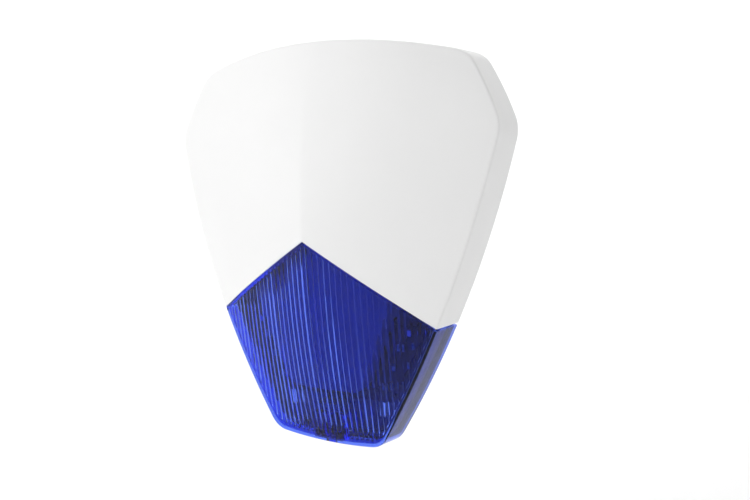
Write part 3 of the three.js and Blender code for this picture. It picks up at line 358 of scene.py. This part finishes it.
# ------------------------------------------------------------------ materials
class Look:
    """A node material on Object coordinates, with short helpers for what feeds its shader."""

    def __init__(self, name, colour, roughness, metallic=0.0, **sockets):
        self.material = bpy.data.materials.new(name)
        self.material.use_nodes = True
        self.tree = self.material.node_tree
        self.shader = self.tree.nodes["Principled BSDF"]
        self.shader.inputs["Base Color"].default_value = (*colour, 1)
        self.shader.inputs["Roughness"].default_value = roughness
        self.shader.inputs["Metallic"].default_value = metallic
        for socket, value in sockets.items():
            self.shader.inputs[socket.replace("_", " ")].default_value = value
        self.place = self.node("ShaderNodeTexCoord").outputs["Object"]
        self.height = None

    def node(self, kind, **settings):
        """A new node of the material with its settings."""
        made = self.tree.nodes.new(kind)
        for name, value in settings.items():
            setattr(made, name, value)
        return made

    def link(self, source, target):
        """Feeds one socket into another."""
        self.tree.links.new(source, target)

    def noise(self, scale, detail=2.0, stretch_by=(1, 1, 1)):
        """Noise over the piece, with its coordinates multiplied along each axis first."""
        mapping = self.node("ShaderNodeMapping")
        mapping.inputs["Scale"].default_value = stretch_by
        self.link(self.place, mapping.inputs["Vector"])
        texture = self.node("ShaderNodeTexNoise")
        texture.inputs["Scale"].default_value = scale
        texture.inputs["Detail"].default_value = detail
        self.link(mapping.outputs["Vector"], texture.inputs["Vector"])
        return texture.outputs["Fac"]

    def ramp(self, source, low, high):
        """Maps the middle of noise, from 0.3 to 0.7, straight to a range."""
        ranged = self.node("ShaderNodeMapRange")
        ranged.inputs["From Min"].default_value = 0.3
        ranged.inputs["From Max"].default_value = 0.7
        ranged.inputs["To Min"].default_value = low
        ranged.inputs["To Max"].default_value = high
        self.link(source, ranged.inputs["Value"])
        return ranged.outputs["Result"]

    def vary_roughness(self, scale, low, high, stretch_by=(1, 1, 1)):
        """Roughness that follows noise between two values."""
        worn = self.ramp(self.noise(scale, 3, stretch_by), low, high)
        self.link(worn, self.shader.inputs["Roughness"])
        return self

    def vary_colour(self, scale, first, second, detail=3.0):
        """Base colour mixed from two colours in proportion to noise."""
        mix = self.node("ShaderNodeMix", data_type="RGBA")
        mix.inputs["A"].default_value = (*first, 1)
        mix.inputs["B"].default_value = (*second, 1)
        self.link(self.ramp(self.noise(scale, detail), 0, 1), mix.inputs["Factor"])
        self.link(mix.outputs["Result"], self.shader.inputs["Base Color"])
        return self

    def bump(self, source, strength, distance):
        """Adds a bump from a height to any that the material has already."""
        bump = self.node("ShaderNodeBump")
        bump.inputs["Strength"].default_value = strength
        bump.inputs["Distance"].default_value = distance
        self.link(source, bump.inputs["Height"])
        if self.height is not None:
            self.link(self.height, bump.inputs["Normal"])
        self.height = bump.outputs["Normal"]
        self.link(self.height, self.shader.inputs["Normal"])
        return self

    def grain(self, scale, strength, distance=0.05 * MM):
        """Fine moulded grain: a bump from noise."""
        return self.bump(self.noise(scale, 4), strength, distance)


def cover_plastic():
    """White plastic with a faint grain, its colour and roughness varied by slow noise."""
    look = Look("white_cover_plastic", (0.84, 0.84, 0.838), 0.36, IOR=1.5)
    look.vary_roughness(60, 0.33, 0.41)
    look.vary_colour(9, (0.84, 0.84, 0.838), (0.855, 0.855, 0.853))
    return look.grain(2600, 0.12).material


def lens_plastic():
    """Clear blue plastic that lets all light through, its roughness varied by noise."""
    look = Look("blue_lens_plastic", (0.09, 0.17, 0.85), 0.05, IOR=1.32, Transmission_Weight=1.0)
    look.vary_roughness(90, 0.03, 0.07)
    return look.material


def moulded_plastic(name, colour, roughness, grain=0.15, scale=1800):
    """Grained plastic: noise mixes its colour with one 7% darker and varies its roughness."""
    look = Look(name, colour, roughness)
    look.vary_roughness(120, roughness - 0.05, roughness + 0.06)
    darker = tuple(c * 0.93 for c in colour)
    look.vary_colour(25, colour, darker)
    return look.grain(scale, grain).material


def rubber():
    """Black rubber with a coarse grain and little shine."""
    look = Look("black_rubber", (0.02, 0.021, 0.025), 0.75, Specular_IOR_Level=0.2)
    look.vary_roughness(200, 0.65, 0.85)
    return look.grain(900, 0.3).material


def metal(name, colour, roughness, stretch_by=(1, 1, 1), scale=700, strength=0.08):
    """Metal with fine drawn or tumbled marks: noise, stretched along the drawn axis."""
    look = Look(name, colour, roughness, metallic=1.0)
    look.vary_roughness(scale / 2, roughness * 0.75, roughness * 1.4, stretch_by)
    return look.bump(look.noise(scale, 5, stretch_by), strength, 0.02 * MM).material


def circuit_board(name, mask, trace):
    """Solder mask over fine copper runs: a brick pattern in the board's plane, whose joints
    are the lighter runs and stand out a little."""
    look = Look(name, mask, 0.38, Coat_Weight=0.3)
    texture = look.node("ShaderNodeTexBrick")
    texture.inputs["Scale"].default_value = 160
    texture.inputs["Mortar Size"].default_value = 0.06
    texture.inputs["Color1"].default_value = (*mask, 1)
    texture.inputs["Color2"].default_value = (*(c * 0.9 for c in mask), 1)
    texture.inputs["Mortar"].default_value = (*trace, 1)
    turn = look.node("ShaderNodeMapping")
    turn.inputs["Rotation"].default_value = (math.pi / 2, 0, 0)
    look.link(look.place, turn.inputs["Vector"])
    look.link(turn.outputs["Vector"], texture.inputs["Vector"])
    look.link(texture.outputs["Color"], look.shader.inputs["Base Color"])
    return look.bump(texture.outputs["Fac"], 0.15, 0.03 * MM).material


def led_dome():
    """The pale yellow cap of a white LED, glossy with a faint grain."""
    return Look("led_dome", (0.95, 0.9, 0.55), 0.15, Coat_Weight=0.6).grain(1500, 0.05).material


def cell_sleeve():
    """A battery's printed sleeve: dark at one end and lighter above a clean band."""
    look = Look("cell_sleeve_print", (0.05, 0.12, 0.35), 0.3, Coat_Weight=0.4)
    split = look.node("ShaderNodeSeparateXYZ")
    look.link(look.place, split.inputs["Vector"])
    band = look.node("ShaderNodeMapRange")
    low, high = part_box("battery_1")
    edge = low.z + 0.72 * (high.z - low.z)
    band.inputs["From Min"].default_value = edge
    band.inputs["From Max"].default_value = edge + 0.2 * MM
    look.link(split.outputs["Z"], band.inputs["Value"])
    mix = look.node("ShaderNodeMix", data_type="RGBA")
    mix.inputs["A"].default_value = (0.03, 0.09, 0.32, 1)
    mix.inputs["B"].default_value = (0.72, 0.55, 0.18, 1)
    look.link(band.outputs["Result"], mix.inputs["Factor"])
    look.link(mix.outputs["Result"], look.shader.inputs["Base Color"])
    look.vary_roughness(300, 0.22, 0.36)
    return look.material


COVER_PLASTIC = cover_plastic()
LENS_PLASTIC = lens_plastic()
STEEL = metal("zinc_steel", (0.62, 0.63, 0.65), 0.3)
MATERIALS = {
    "cover_white": COVER_PLASTIC,
    "lens_blue": LENS_PLASTIC,
    "seal_rubber": rubber(),
    "screw_steel": STEEL,
    "lock_steel": metal("lock_steel", (0.55, 0.56, 0.58), 0.25),
    "housing_grey": moulded_plastic("housing_plastic", (0.33, 0.34, 0.36), 0.5),
    "chassis_grey": moulded_plastic("chassis_plastic", (0.50, 0.51, 0.53), 0.45),
    "vial_green": Look("vial_liquid", (0.62, 0.85, 0.12), 0.05, Transmission_Weight=0.7).material,
    "black_plastic": moulded_plastic("black_plastic", (0.025, 0.025, 0.028), 0.45, 0.25),
    "spring_steel": metal("spring_steel", (0.7, 0.69, 0.66), 0.22),
    "mesh_steel": metal("mesh_steel", (0.55, 0.55, 0.55), 0.35),
    "disc_brass": metal("disc_brass", (0.75, 0.55, 0.24), 0.28),
    "board_green": circuit_board("green_board", (0.015, 0.13, 0.05), (0.05, 0.26, 0.11)),
    "board_black": circuit_board("black_board", (0.05, 0.055, 0.075), (0.08, 0.085, 0.11)),
    "led_package": led_dome(),
    "can_tin": metal("tin_can", (0.68, 0.68, 0.66), 0.3, (1, 1, 12)),
    "coil_copper": metal("copper_wire", (0.72, 0.33, 0.14), 0.25, (1, 8, 8), 1500, 0.4),
    "terminal_green": moulded_plastic("terminal_plastic", (0.03, 0.3, 0.1), 0.4),
    "white_plastic": moulded_plastic("white_acetal", (0.8, 0.8, 0.78), 0.35),
    "cell_sleeve": cell_sleeve(),
    "lead_red": moulded_plastic("lead_insulation", (0.45, 0.02, 0.015), 0.45),
}


# ------------------------------------------------------------------ front cover and strobe lens
def wall_rows(lengths_at, inset, face_inset, radius, height_steps=10, bend_steps=5):
    """Rows of a side wall, from the face's edge round its fillet and back to the rear edge.

    lengths_at(inset) gives the arc lengths of a row. The fillet is a quarter turn of the given
    radius; behind it the wall leans out by the draft, in proportion to its depth."""
    rows = []
    turns = np.linspace(0, math.pi / 2, bend_steps + 1)[1:]
    for turn in turns:
        at = inset + radius * (1 - math.sin(turn))
        x, z = outline_at(lengths_at(at), at)
        fall = radius * (1 - math.cos(turn))
        rows.append(depth_points(x, z, face_depth(x, z) - face_inset - fall))
    front_x, front_z = outline_at(lengths_at(inset), inset)
    front = face_depth(front_x, front_z) - face_inset - radius
    for share in np.linspace(0, 1, height_steps + 1)[1:]:
        at = inset - DRAFT * share
        x, z = outline_at(lengths_at(at), at)
        rows.append(depth_points(x, z, front + share * (COVER_BACK - front)))
    return rows


def cover_surface(inset, face_inset, radius, across=160, up=150):
    """One skin of the cover: the face as a grid, and its walls.

    The face is a Coons patch between the chevron, the two sides and the top edge, lifted to the
    face's depth; the walls run from its left corner over the top to its right corner."""
    edge = inset + radius
    u = np.linspace(-1, 1, across + 1)
    v = np.linspace(0, 1, up + 1)
    corner_z = chevron_z(LENS_CORNER_HALF) + SEAM
    start = length_at_height(corner_z, edge)
    top_x, top_z = outline_at(u * TOP_CORNER_LENGTH, edge)
    side_x, side_z = outline_at(start + (TOP_CORNER_LENGTH - start) * v, edge)
    low_x = u * side_x[0]
    low_z = chevron_z(low_x) + SEAM
    low_z = low_z + (side_z[0] - low_z[-1]) * np.abs(u) ** 8
    w = (u + 1) / 2
    V, W = np.meshgrid(v, w, indexing="ij")
    sides = (1 - W) * -side_x[:, None] + W * side_x[:, None]
    low_chord = (1 - W) * low_x[0] + W * low_x[-1]
    top_chord = (1 - W) * top_x[0] + W * top_x[-1]
    corners = (1 - V) * low_chord + V * top_chord
    x = (1 - V) * low_x + V * top_x + sides - corners
    flat = (1 - V) * low_z[0] + V * top_z[0]
    z = (1 - V) * low_z + V * top_z + side_z[:, None] - flat
    face = depth_points(x, z, face_depth(x, z) - face_inset)

    def lengths_at(at):
        first = length_at_height(corner_z, at)
        side = first + (TOP_CORNER_LENGTH - first) * v
        return np.concatenate([-side[:-1], u * TOP_CORNER_LENGTH, side[-2::-1]])

    rows = wall_rows(lengths_at, inset, face_inset, radius)
    columns = across + 1
    left = np.arange(up) * columns
    top = up * columns + np.arange(columns)
    right = np.arange(up - 1, -1, -1) * columns + across
    loop = np.concatenate([left, top, right])
    first_row = len(face)
    count = len(loop)
    quads = [grid_faces(up + 1, columns)]
    wall = first_row + np.arange(count)
    quads.append(np.stack([loop[:-1], loop[1:], wall[1:], wall[:-1]], 1))
    quads.append(grid_faces(len(rows), count, first_row))
    return np.concatenate([face, *rows]), np.concatenate(quads)


def lens_surface(inset, face_inset, radius, ribbed, up=120):
    """One skin of the lens: columns of constant x between the lower outline and the chevron.

    On the ribbed skin each rib is a ridge with straight flanks, faded out at a plain border."""
    edge = inset + radius
    corner_z = chevron_z(LENS_CORNER_HALF) - SEAM
    start = length_at_height(corner_z, edge)
    corner_x, _ = outline_at(np.array([start]), edge)
    ribs = int(round(corner_x[0] / RIB_PITCH))
    x = np.linspace(-corner_x[0], corner_x[0], 2 * ribs * RIB_STEPS + 1)
    slid = OUTLINE - edge * OUTLINE_NORMAL
    lower = OUTLINE_LENGTH >= start
    low_s = np.interp(-np.abs(x), -slid[lower, 0], OUTLINE_LENGTH[lower])
    low_s = np.where(x < 0, -low_s, low_s)
    _, low_z = outline_at(np.where(low_s == 0, 1e-9, low_s), edge)
    high_z = np.maximum(chevron_z(x) - SEAM, low_z)
    v = np.linspace(0, 1, up + 1)
    V, X = np.meshgrid(v, x, indexing="ij")
    z = low_z + V * (high_z - low_z)
    depth = face_depth(X, z) - face_inset
    if ribbed:
        phase = (X / RIB_PITCH + 0.5) % 1
        ridge = 1 - np.abs(2 * phase - 1)
        room = np.minimum((high_z - z) / RIB_BORDER, (z - low_z) / RIB_BORDER)
        side = (corner_x[0] - np.abs(X)) / RIB_BORDER
        fade = np.clip(np.minimum(room, side) - RIB_FADE_START, 0, RIB_FADE_SHARE) / RIB_FADE_SHARE
        depth = depth - RIB_DEPTH * ridge * fade
    face = depth_points(X, z, depth)
    share = (np.abs(low_s) - start) / (OUTLINE_LENGTH[-1] - start)

    def lengths_at(at):
        first = length_at_height(corner_z, at)
        row = first + (OUTLINE_LENGTH[-1] - first) * share
        return np.where(x < 0, -row, row)

    rows = wall_rows(lengths_at, inset, face_inset, radius, height_steps=8)
    count = len(x)
    edge_row = np.arange(count)
    wall = len(face) + edge_row
    joint = np.stack([edge_row[1:], edge_row[:-1], wall[:-1], wall[1:]], 1)
    walls = grid_faces(len(rows), count, len(face))[:, ::-1]
    quads = [grid_faces(up + 1, count), joint, walls]
    return np.concatenate([face, *rows]), np.concatenate(quads)


def make_cover():
    """The cover's wall between its outer and inner skins."""
    outer, quads = cover_surface(*OUTER_SKIN)
    inner, _ = cover_surface(*INNER_SKIN)
    vertices, faces = shell(outer, inner, quads)
    cover = new_object("cover_shell", vertices, faces)
    clean(cover)
    shade(cover, 40)
    return finish_piece(cover, "cover", "cover_white", COVER_PLASTIC, "front_cover")


def make_lens():
    """The lens's wall between a plain outer skin and a ribbed inner skin."""
    outer, quads = lens_surface(*OUTER_SKIN, False)
    inner, _ = lens_surface(*INNER_SKIN, True)
    vertices, faces = shell(outer, inner, quads)
    lens = new_object("lens_shell", vertices, faces)
    clean(lens, 2e-6)
    shade(lens, 20)
    return finish_piece(lens, "cover", "lens_blue", LENS_PLASTIC, "strobe_lens")


def loop_loft(rings, closed=True):
    """Joins rings with the same number of points, and the last ring to the first if closed.

    An open loft is capped at both ends with a fan to the end ring's middle."""
    count = len(rings[0])
    points = np.concatenate(rings)
    faces = [grid_faces(len(rings), count, closed=True)]
    around = np.arange(count)
    last = (len(rings) - 1) * count
    if closed:
        after = (around + 1) % count
        faces.append(np.stack([last + around, last + after, after, around], 1))
        return points, np.concatenate(faces)
    for first, order in ((0, 1), (last, -1)):
        middle = len(points)
        points = np.concatenate([points, points[first:first + count].mean(0, keepdims=True)])
        fan = np.stack([first + around, first + (around + 1) % count, np.full(count, middle)], 1)
        faces.append(np.concatenate([fan, fan[:, :1]], 1)[:, ::-order])
    return points, np.concatenate(faces)


def square_ring(centre, half_x, half_y, z, count=48):
    """Points of a rectangle at equal angles, to match a circle of as many points."""
    angle = np.linspace(0, 2 * math.pi, count, endpoint=False)
    reach = 1 / np.maximum(np.abs(np.cos(angle)) / half_x, np.abs(np.sin(angle)) / half_y)
    x, y = centre[0] + reach * np.cos(angle), centre[1] + reach * np.sin(angle)
    return np.stack([x, y, np.full(count, z)], 1)


def round_ring(centre, radius, z, count=48):
    """Points of a circle at equal angles and one height."""
    angle = np.linspace(0, 2 * math.pi, count, endpoint=False)
    x, y = centre[0] + radius * np.cos(angle), centre[1] + radius * np.sin(angle)
    return np.stack([x, y, np.full(count, z)], 1)


def hinge_hook(side):
    """A ring section open at its lower rear, swept round the hinge bar as a flat strip."""
    hinge_z = TOP_Z - HINGE_DROP
    round_it = np.linspace(0, 1, 33) * (2 * math.pi - HOOK_OPENING)
    angle = 5 * math.pi / 4 + HOOK_OPENING / 2 + round_it
    low, high = side * HINGE_HOOK_X - HINGE_HOOK_HALF, side * HINGE_HOOK_X + HINGE_HOOK_HALF
    section = ((low, HOOK_INNER), (high, HOOK_INNER), (high, HOOK_OUTER), (low, HOOK_OUTER))
    rings = [np.array([
        [x, -HINGE_DEPTH - radius * math.cos(a), hinge_z + radius * math.sin(a)]
        for x, radius in section
    ]) for a in angle]
    return loop_loft(rings, closed=False)


def hook_root(side):
    """The web that carries a hook from the cover's top wall."""
    low, high = side * HINGE_HOOK_X - HINGE_HOOK_HALF, side * HINGE_HOOK_X + HINGE_HOOK_HALF
    front_low, rear_high = (low, -13.5 * MM, TOP_Z - 5 * MM), (high, -10.4 * MM, TOP_Z - 2 * MM)
    return rounded_block(front_low, rear_high, BLOCK_ROUNDING)


def face_post(x, z, radius, end, bore, bore_depth):
    """A round post from the cover's inner face back to a depth, with a blind bore in its end."""
    root = -(face_depth(x, z) - WALL * 0.6)
    end_y = -end
    profile = [
        (bore, end_y), (radius - 0.3 * MM, end_y), (radius, end_y - 0.3 * MM),
        (radius + 0.2 * MM, root), (0.05 * MM, root),
        (0.05 * MM, end_y - bore_depth), (bore, end_y - bore_depth),
    ]
    return lathe(profile, "y", (x, 0, z), 32)


LENS_SCREW_X = 75 * MM
LENS_SCREW_Z = float(chevron_z(LENS_SCREW_X)) + 11 * MM
LENS_POST_END = float(face_depth(LENS_SCREW_X, LENS_SCREW_Z)) - 9 * MM
SHANK_HOLE = 1.5 * MM


def make_cover_fittings():
    """Hinge hooks, lens screw posts and the post that holds the tamper plunger down."""
    switch_low, switch_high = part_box("cover_tamper_switch")
    switch = (switch_low + switch_high) / 2
    plunger_tip = -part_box("cover_tamper_plunger")[0].y
    parts = [hinge_hook(-1), hinge_hook(1), hook_root(-1), hook_root(1)]
    for side in (-1, 1):
        parts.append(face_post(
            side * LENS_SCREW_X, LENS_SCREW_Z, 3.5 * MM, LENS_POST_END, SHANK_HOLE, 6 * MM))
    parts.append(face_post(switch.x, switch.z, 3 * MM, plunger_tip + 0.3 * MM, 1.2 * MM, 3 * MM))
    fittings = new_object("cover_fittings", *join_parts(parts))
    clean(fittings)
    shade(fittings, 40)
    return finish_piece(fittings, "cover", "cover_white", COVER_PLASTIC)


def lens_tongue():
    """A strip behind the chevron joint: its section, a thin rectangle, is carried along X."""
    reach = LENS_CORNER_HALF - 1 * MM
    x = np.linspace(-reach, reach, 121)
    corners = ((-3 * MM, 2.8 * MM), (6 * MM, 2.8 * MM), (6 * MM, 5.2 * MM), (-3 * MM, 5.2 * MM))
    rings = []
    for offset, inset in corners:
        z = chevron_z(x) + offset
        rings.append(depth_points(x, z, face_depth(x, z) - inset))
    strip = np.stack(rings, 1)
    return loop_loft(list(strip), closed=False)


def lens_ear(side):
    """The tab above the chevron that a lens screw goes through."""
    back = LENS_POST_END - 2.3 * MM
    foot = float(chevron_z(LENS_SCREW_X)) - 1 * MM
    x = side * LENS_SCREW_X
    tab_z = (foot + LENS_SCREW_Z + EAR_HALF) / 2
    half_z = (LENS_SCREW_Z + EAR_HALF - foot) / 2
    front = back + EAR_THICKNESS
    edge = square_ring((x, tab_z), EAR_HALF, half_z, 0)
    hole = round_ring((x, LENS_SCREW_Z), SHANK_HOLE, 0)
    rings = []
    for ring, depth in ((edge, back), (edge, front), (hole, front), (hole, back)):
        rings.append(depth_points(ring[:, 0], ring[:, 1], np.full(len(ring), depth)))
    web_top = float(face_depth(LENS_SCREW_X, foot)) - WALL
    web_low, web_high = (x - EAR_HALF, -web_top, foot), (x + EAR_HALF, -back, foot + 3 * MM)
    web = rounded_block(web_low, web_high, BLOCK_ROUNDING)
    return join_parts([loop_loft(rings), web])


def lock_boss():
    """The square block at the lens's lower end, with a stepped bore for the lock screw."""
    axis = (0, -LOCK_DEPTH)
    bottom, top, step = BOTTOM_Z + 2.2 * MM, BOTTOM_Z + 21.5 * MM, BOTTOM_Z + 15 * MM
    half_x, half_y, chamfer = 12 * MM, 10 * MM, 0.6 * MM
    rings = [
        square_ring(axis, half_x, 7.6 * MM, bottom),
        square_ring(axis, half_x, half_y - 1 * MM, step),
        square_ring(axis, half_x, half_y, top - chamfer),
        square_ring(axis, half_x - chamfer, half_y - chamfer, top),
        round_ring(axis, LOCK_BORE, top), round_ring(axis, LOCK_BORE, step),
        round_ring(axis, LOCK_MOUTH, step), round_ring(axis, LOCK_MOUTH, bottom),
    ]
    return loop_loft(rings)


def make_lens_fittings():
    """The tongue, ears and lock boss, which are moulded with the lens."""
    parts = [lens_tongue(), lens_ear(-1), lens_ear(1), lock_boss()]
    fittings = new_object("lens_fittings", *join_parts(parts))
    clean(fittings)
    shade(fittings, 35)
    return finish_piece(fittings, "cover", "lens_blue", LENS_PLASTIC)


def make_weather_seal():
    """A foam strip round the housing's rim, behind the lens and the lower cover.

    Its section is a rectangle from the cover's wall to the rim, carried along the outline."""
    start = length_at_height(SHOULDER_Z - SEAL_START_DROP, 0)
    s = np.linspace(start, 2 * OUTLINE_LENGTH[-1] - start, 321)
    rings = []
    for inset, depth in ((1.1, 4.7), (4.5, 4.7), (4.5, 8.5), (1.6, 8.5)):
        x, z = outline_at(np.minimum(s, 2 * OUTLINE_LENGTH[-1] - s), inset * MM)
        x = np.where(s > OUTLINE_LENGTH[-1], -x, x)
        rings.append(depth_points(x, z, np.full_like(x, depth * MM)))
    seal = new_object("weather_seal", *loop_loft(list(np.stack(rings, 1)), closed=False))
    clean(seal)
    shade(seal, 40)
    return finish_piece(seal, "root", "seal_rubber", MATERIALS["seal_rubber"])


def bore_lens(lens):
    """Cuts the round mouth of the lock recess through the lens's lower wall."""
    mouth = new_object("lock_mouth", *loop_loft([
        round_ring((0, -LOCK_DEPTH), LOCK_MOUTH, BOTTOM_Z - 4 * MM),
        round_ring((0, -LOCK_DEPTH), LOCK_MOUTH, BOTTOM_Z + 6 * MM),
    ], closed=False))
    clean(mouth)
    cutter = lens.modifiers.new("lock_mouth", "BOOLEAN")
    cutter.operation = "DIFFERENCE"
    cutter.solver = "EXACT"
    cutter.object = mouth
    depsgraph = bpy.context.evaluated_depsgraph_get()
    bored = bpy.data.meshes.new_from_object(lens.evaluated_get(depsgraph))
    lens.modifiers.clear()
    lens.data = bored
    bpy.data.objects.remove(mouth)
    shade(lens, 20)


make_cover()
make_cover_fittings()
bore_lens(make_lens())
make_lens_fittings()
make_weather_seal()


# ------------------------------------------------------------------ CAD pieces with softened edges
BEVEL_WIDTHS = {"rear_housing": 0.4 * MM, "inner_chassis": 0.5 * MM}
REBUILT = {"front_cover", "strobe_lens"}
MOST_BEVEL = 0.25 * MM
BEVEL_SHARE = 0.08
SHARP_DEGREES = 38
FLAT_ANGLE = math.radians(1.0)


def soften(node, width):
    """A copy of a CAD node with its facets merged and its edges slightly rounded."""
    source = frame["nodes"][node]
    piece = bpy.data.objects.new(node + "_fine", source.data.copy())
    bpy.context.scene.collection.objects.link(piece)
    work = bmesh.new()
    work.from_mesh(piece.data)
    bmesh.ops.remove_doubles(work, verts=work.verts, dist=2e-6)
    bmesh.ops.dissolve_limit(
        work, angle_limit=FLAT_ANGLE, verts=work.verts, edges=work.edges)
    work.to_mesh(piece.data)
    work.free()
    bevel = piece.modifiers.new("soft_edges", "BEVEL")
    bevel.width = width
    bevel.segments = 2
    bevel.limit_method = "ANGLE"
    bevel.angle_limit = math.radians(SHARP_DEGREES)
    bevel.harden_normals = True
    shade(piece, SHARP_DEGREES)
    return piece


slot_of = {part["node"]: part["material_slot"] for part in frame["record"]["subparts"]}
bodies = frame["record"]["behaviour"]["bodies"]
body_of = {node: body for body, nodes in bodies.items() for node in nodes}
for node in sorted(frame["nodes"]):
    if node in REBUILT:
        continue
    low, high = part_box(node)
    width = BEVEL_WIDTHS.get(node, min(MOST_BEVEL, BEVEL_SHARE * min(high - low)))
    piece = soften(node, width)
    finish_piece(piece, body_of[node], slot_of[node], MATERIALS[slot_of[node]], node)


# ------------------------------------------------------------------ stage, light and camera
def make_stage():
    """A round pale floor that sweeps up into a wall all round, open at the top.

    Its section runs from the middle of the floor, through a quarter circle, up the wall."""
    floor_z, wall_radius, bend, sides = cad_low.z - 0.30, 3.4, 0.9, 96
    turn = np.linspace(0, math.pi / 2, 24)
    radius = np.concatenate([[0.0], wall_radius - bend + bend * np.sin(turn), [wall_radius]])
    z = np.concatenate([[floor_z], floor_z + bend * (1 - np.cos(turn)), [floor_z + 3.4]])
    angle = np.linspace(0, 2 * math.pi, sides, endpoint=False)
    x, y = np.outer(radius, np.cos(angle)), np.outer(radius, np.sin(angle))
    points = np.stack([x.ravel(), y.ravel(), np.repeat(z, sides)], 1)
    floor = new_object("studio_floor", points, grid_faces(len(z), sides, closed=True))
    look = Look("studio_paper", (0.93, 0.93, 0.93), 0.9)
    floor.data.materials.append(look.material)


def area_light(name, place, aim, size, power):
    """A white rectangular light that faces a point and that the camera doesn't see."""
    data = bpy.data.lights.new(name, "AREA")
    data.shape = "RECTANGLE"
    data.size, data.size_y = size
    data.energy = power
    light = bpy.data.objects.new(name, data)
    light.location = place
    light.rotation_euler = (Vector(place) - Vector(aim)).to_track_quat("Z", "Y").to_euler()
    light.visible_camera = False
    bpy.context.scene.collection.objects.link(light)


def make_lights():
    """A large key light, three fills and even light from all round."""
    area_light("key", (-1.25, -1.6, 0.7), (0, 0, 0), (2.2, 2.2), 26.5)
    area_light("side", (1.9, 0.2, 0.3), (0, 0, 0), (1.2, 1.6), 4)
    area_light("overhead", (0.0, -0.2, 2.0), (0, 0, 0), (1.6, 1.6), 6)
    area_light("backdrop", (-0.7, 1.2, 2.6), (-1.8, 2.8, 0), (2.6, 1.4), 60)
    world = bpy.data.worlds.new("studio_air")
    world.use_nodes = True
    background = world.node_tree.nodes["Background"].inputs
    background["Color"].default_value = (1, 1, 1, 1)
    background["Strength"].default_value = 0.3
    bpy.context.scene.world = world
    bpy.context.scene.view_settings.view_transform = "Standard"


def make_camera():
    """A camera in front and to the right, aimed near the middle, with a shifted picture."""
    data = bpy.data.cameras.new("camera")
    data.sensor_width = 36
    data.lens = 35.92
    data.shift_x = 0.0412
    data.shift_y = 0.01645
    camera = bpy.data.objects.new("camera", data)
    place = Vector((0.28827, -0.47944, 0.04555))
    aim = Vector((0, -0.0042, -0.0116))
    camera.location = place
    camera.rotation_euler = (place - aim).to_track_quat("Z", "Y").to_euler()
    bpy.context.scene.collection.objects.link(camera)
    bpy.context.scene.camera = camera


make_stage()
make_lights()
make_camera()
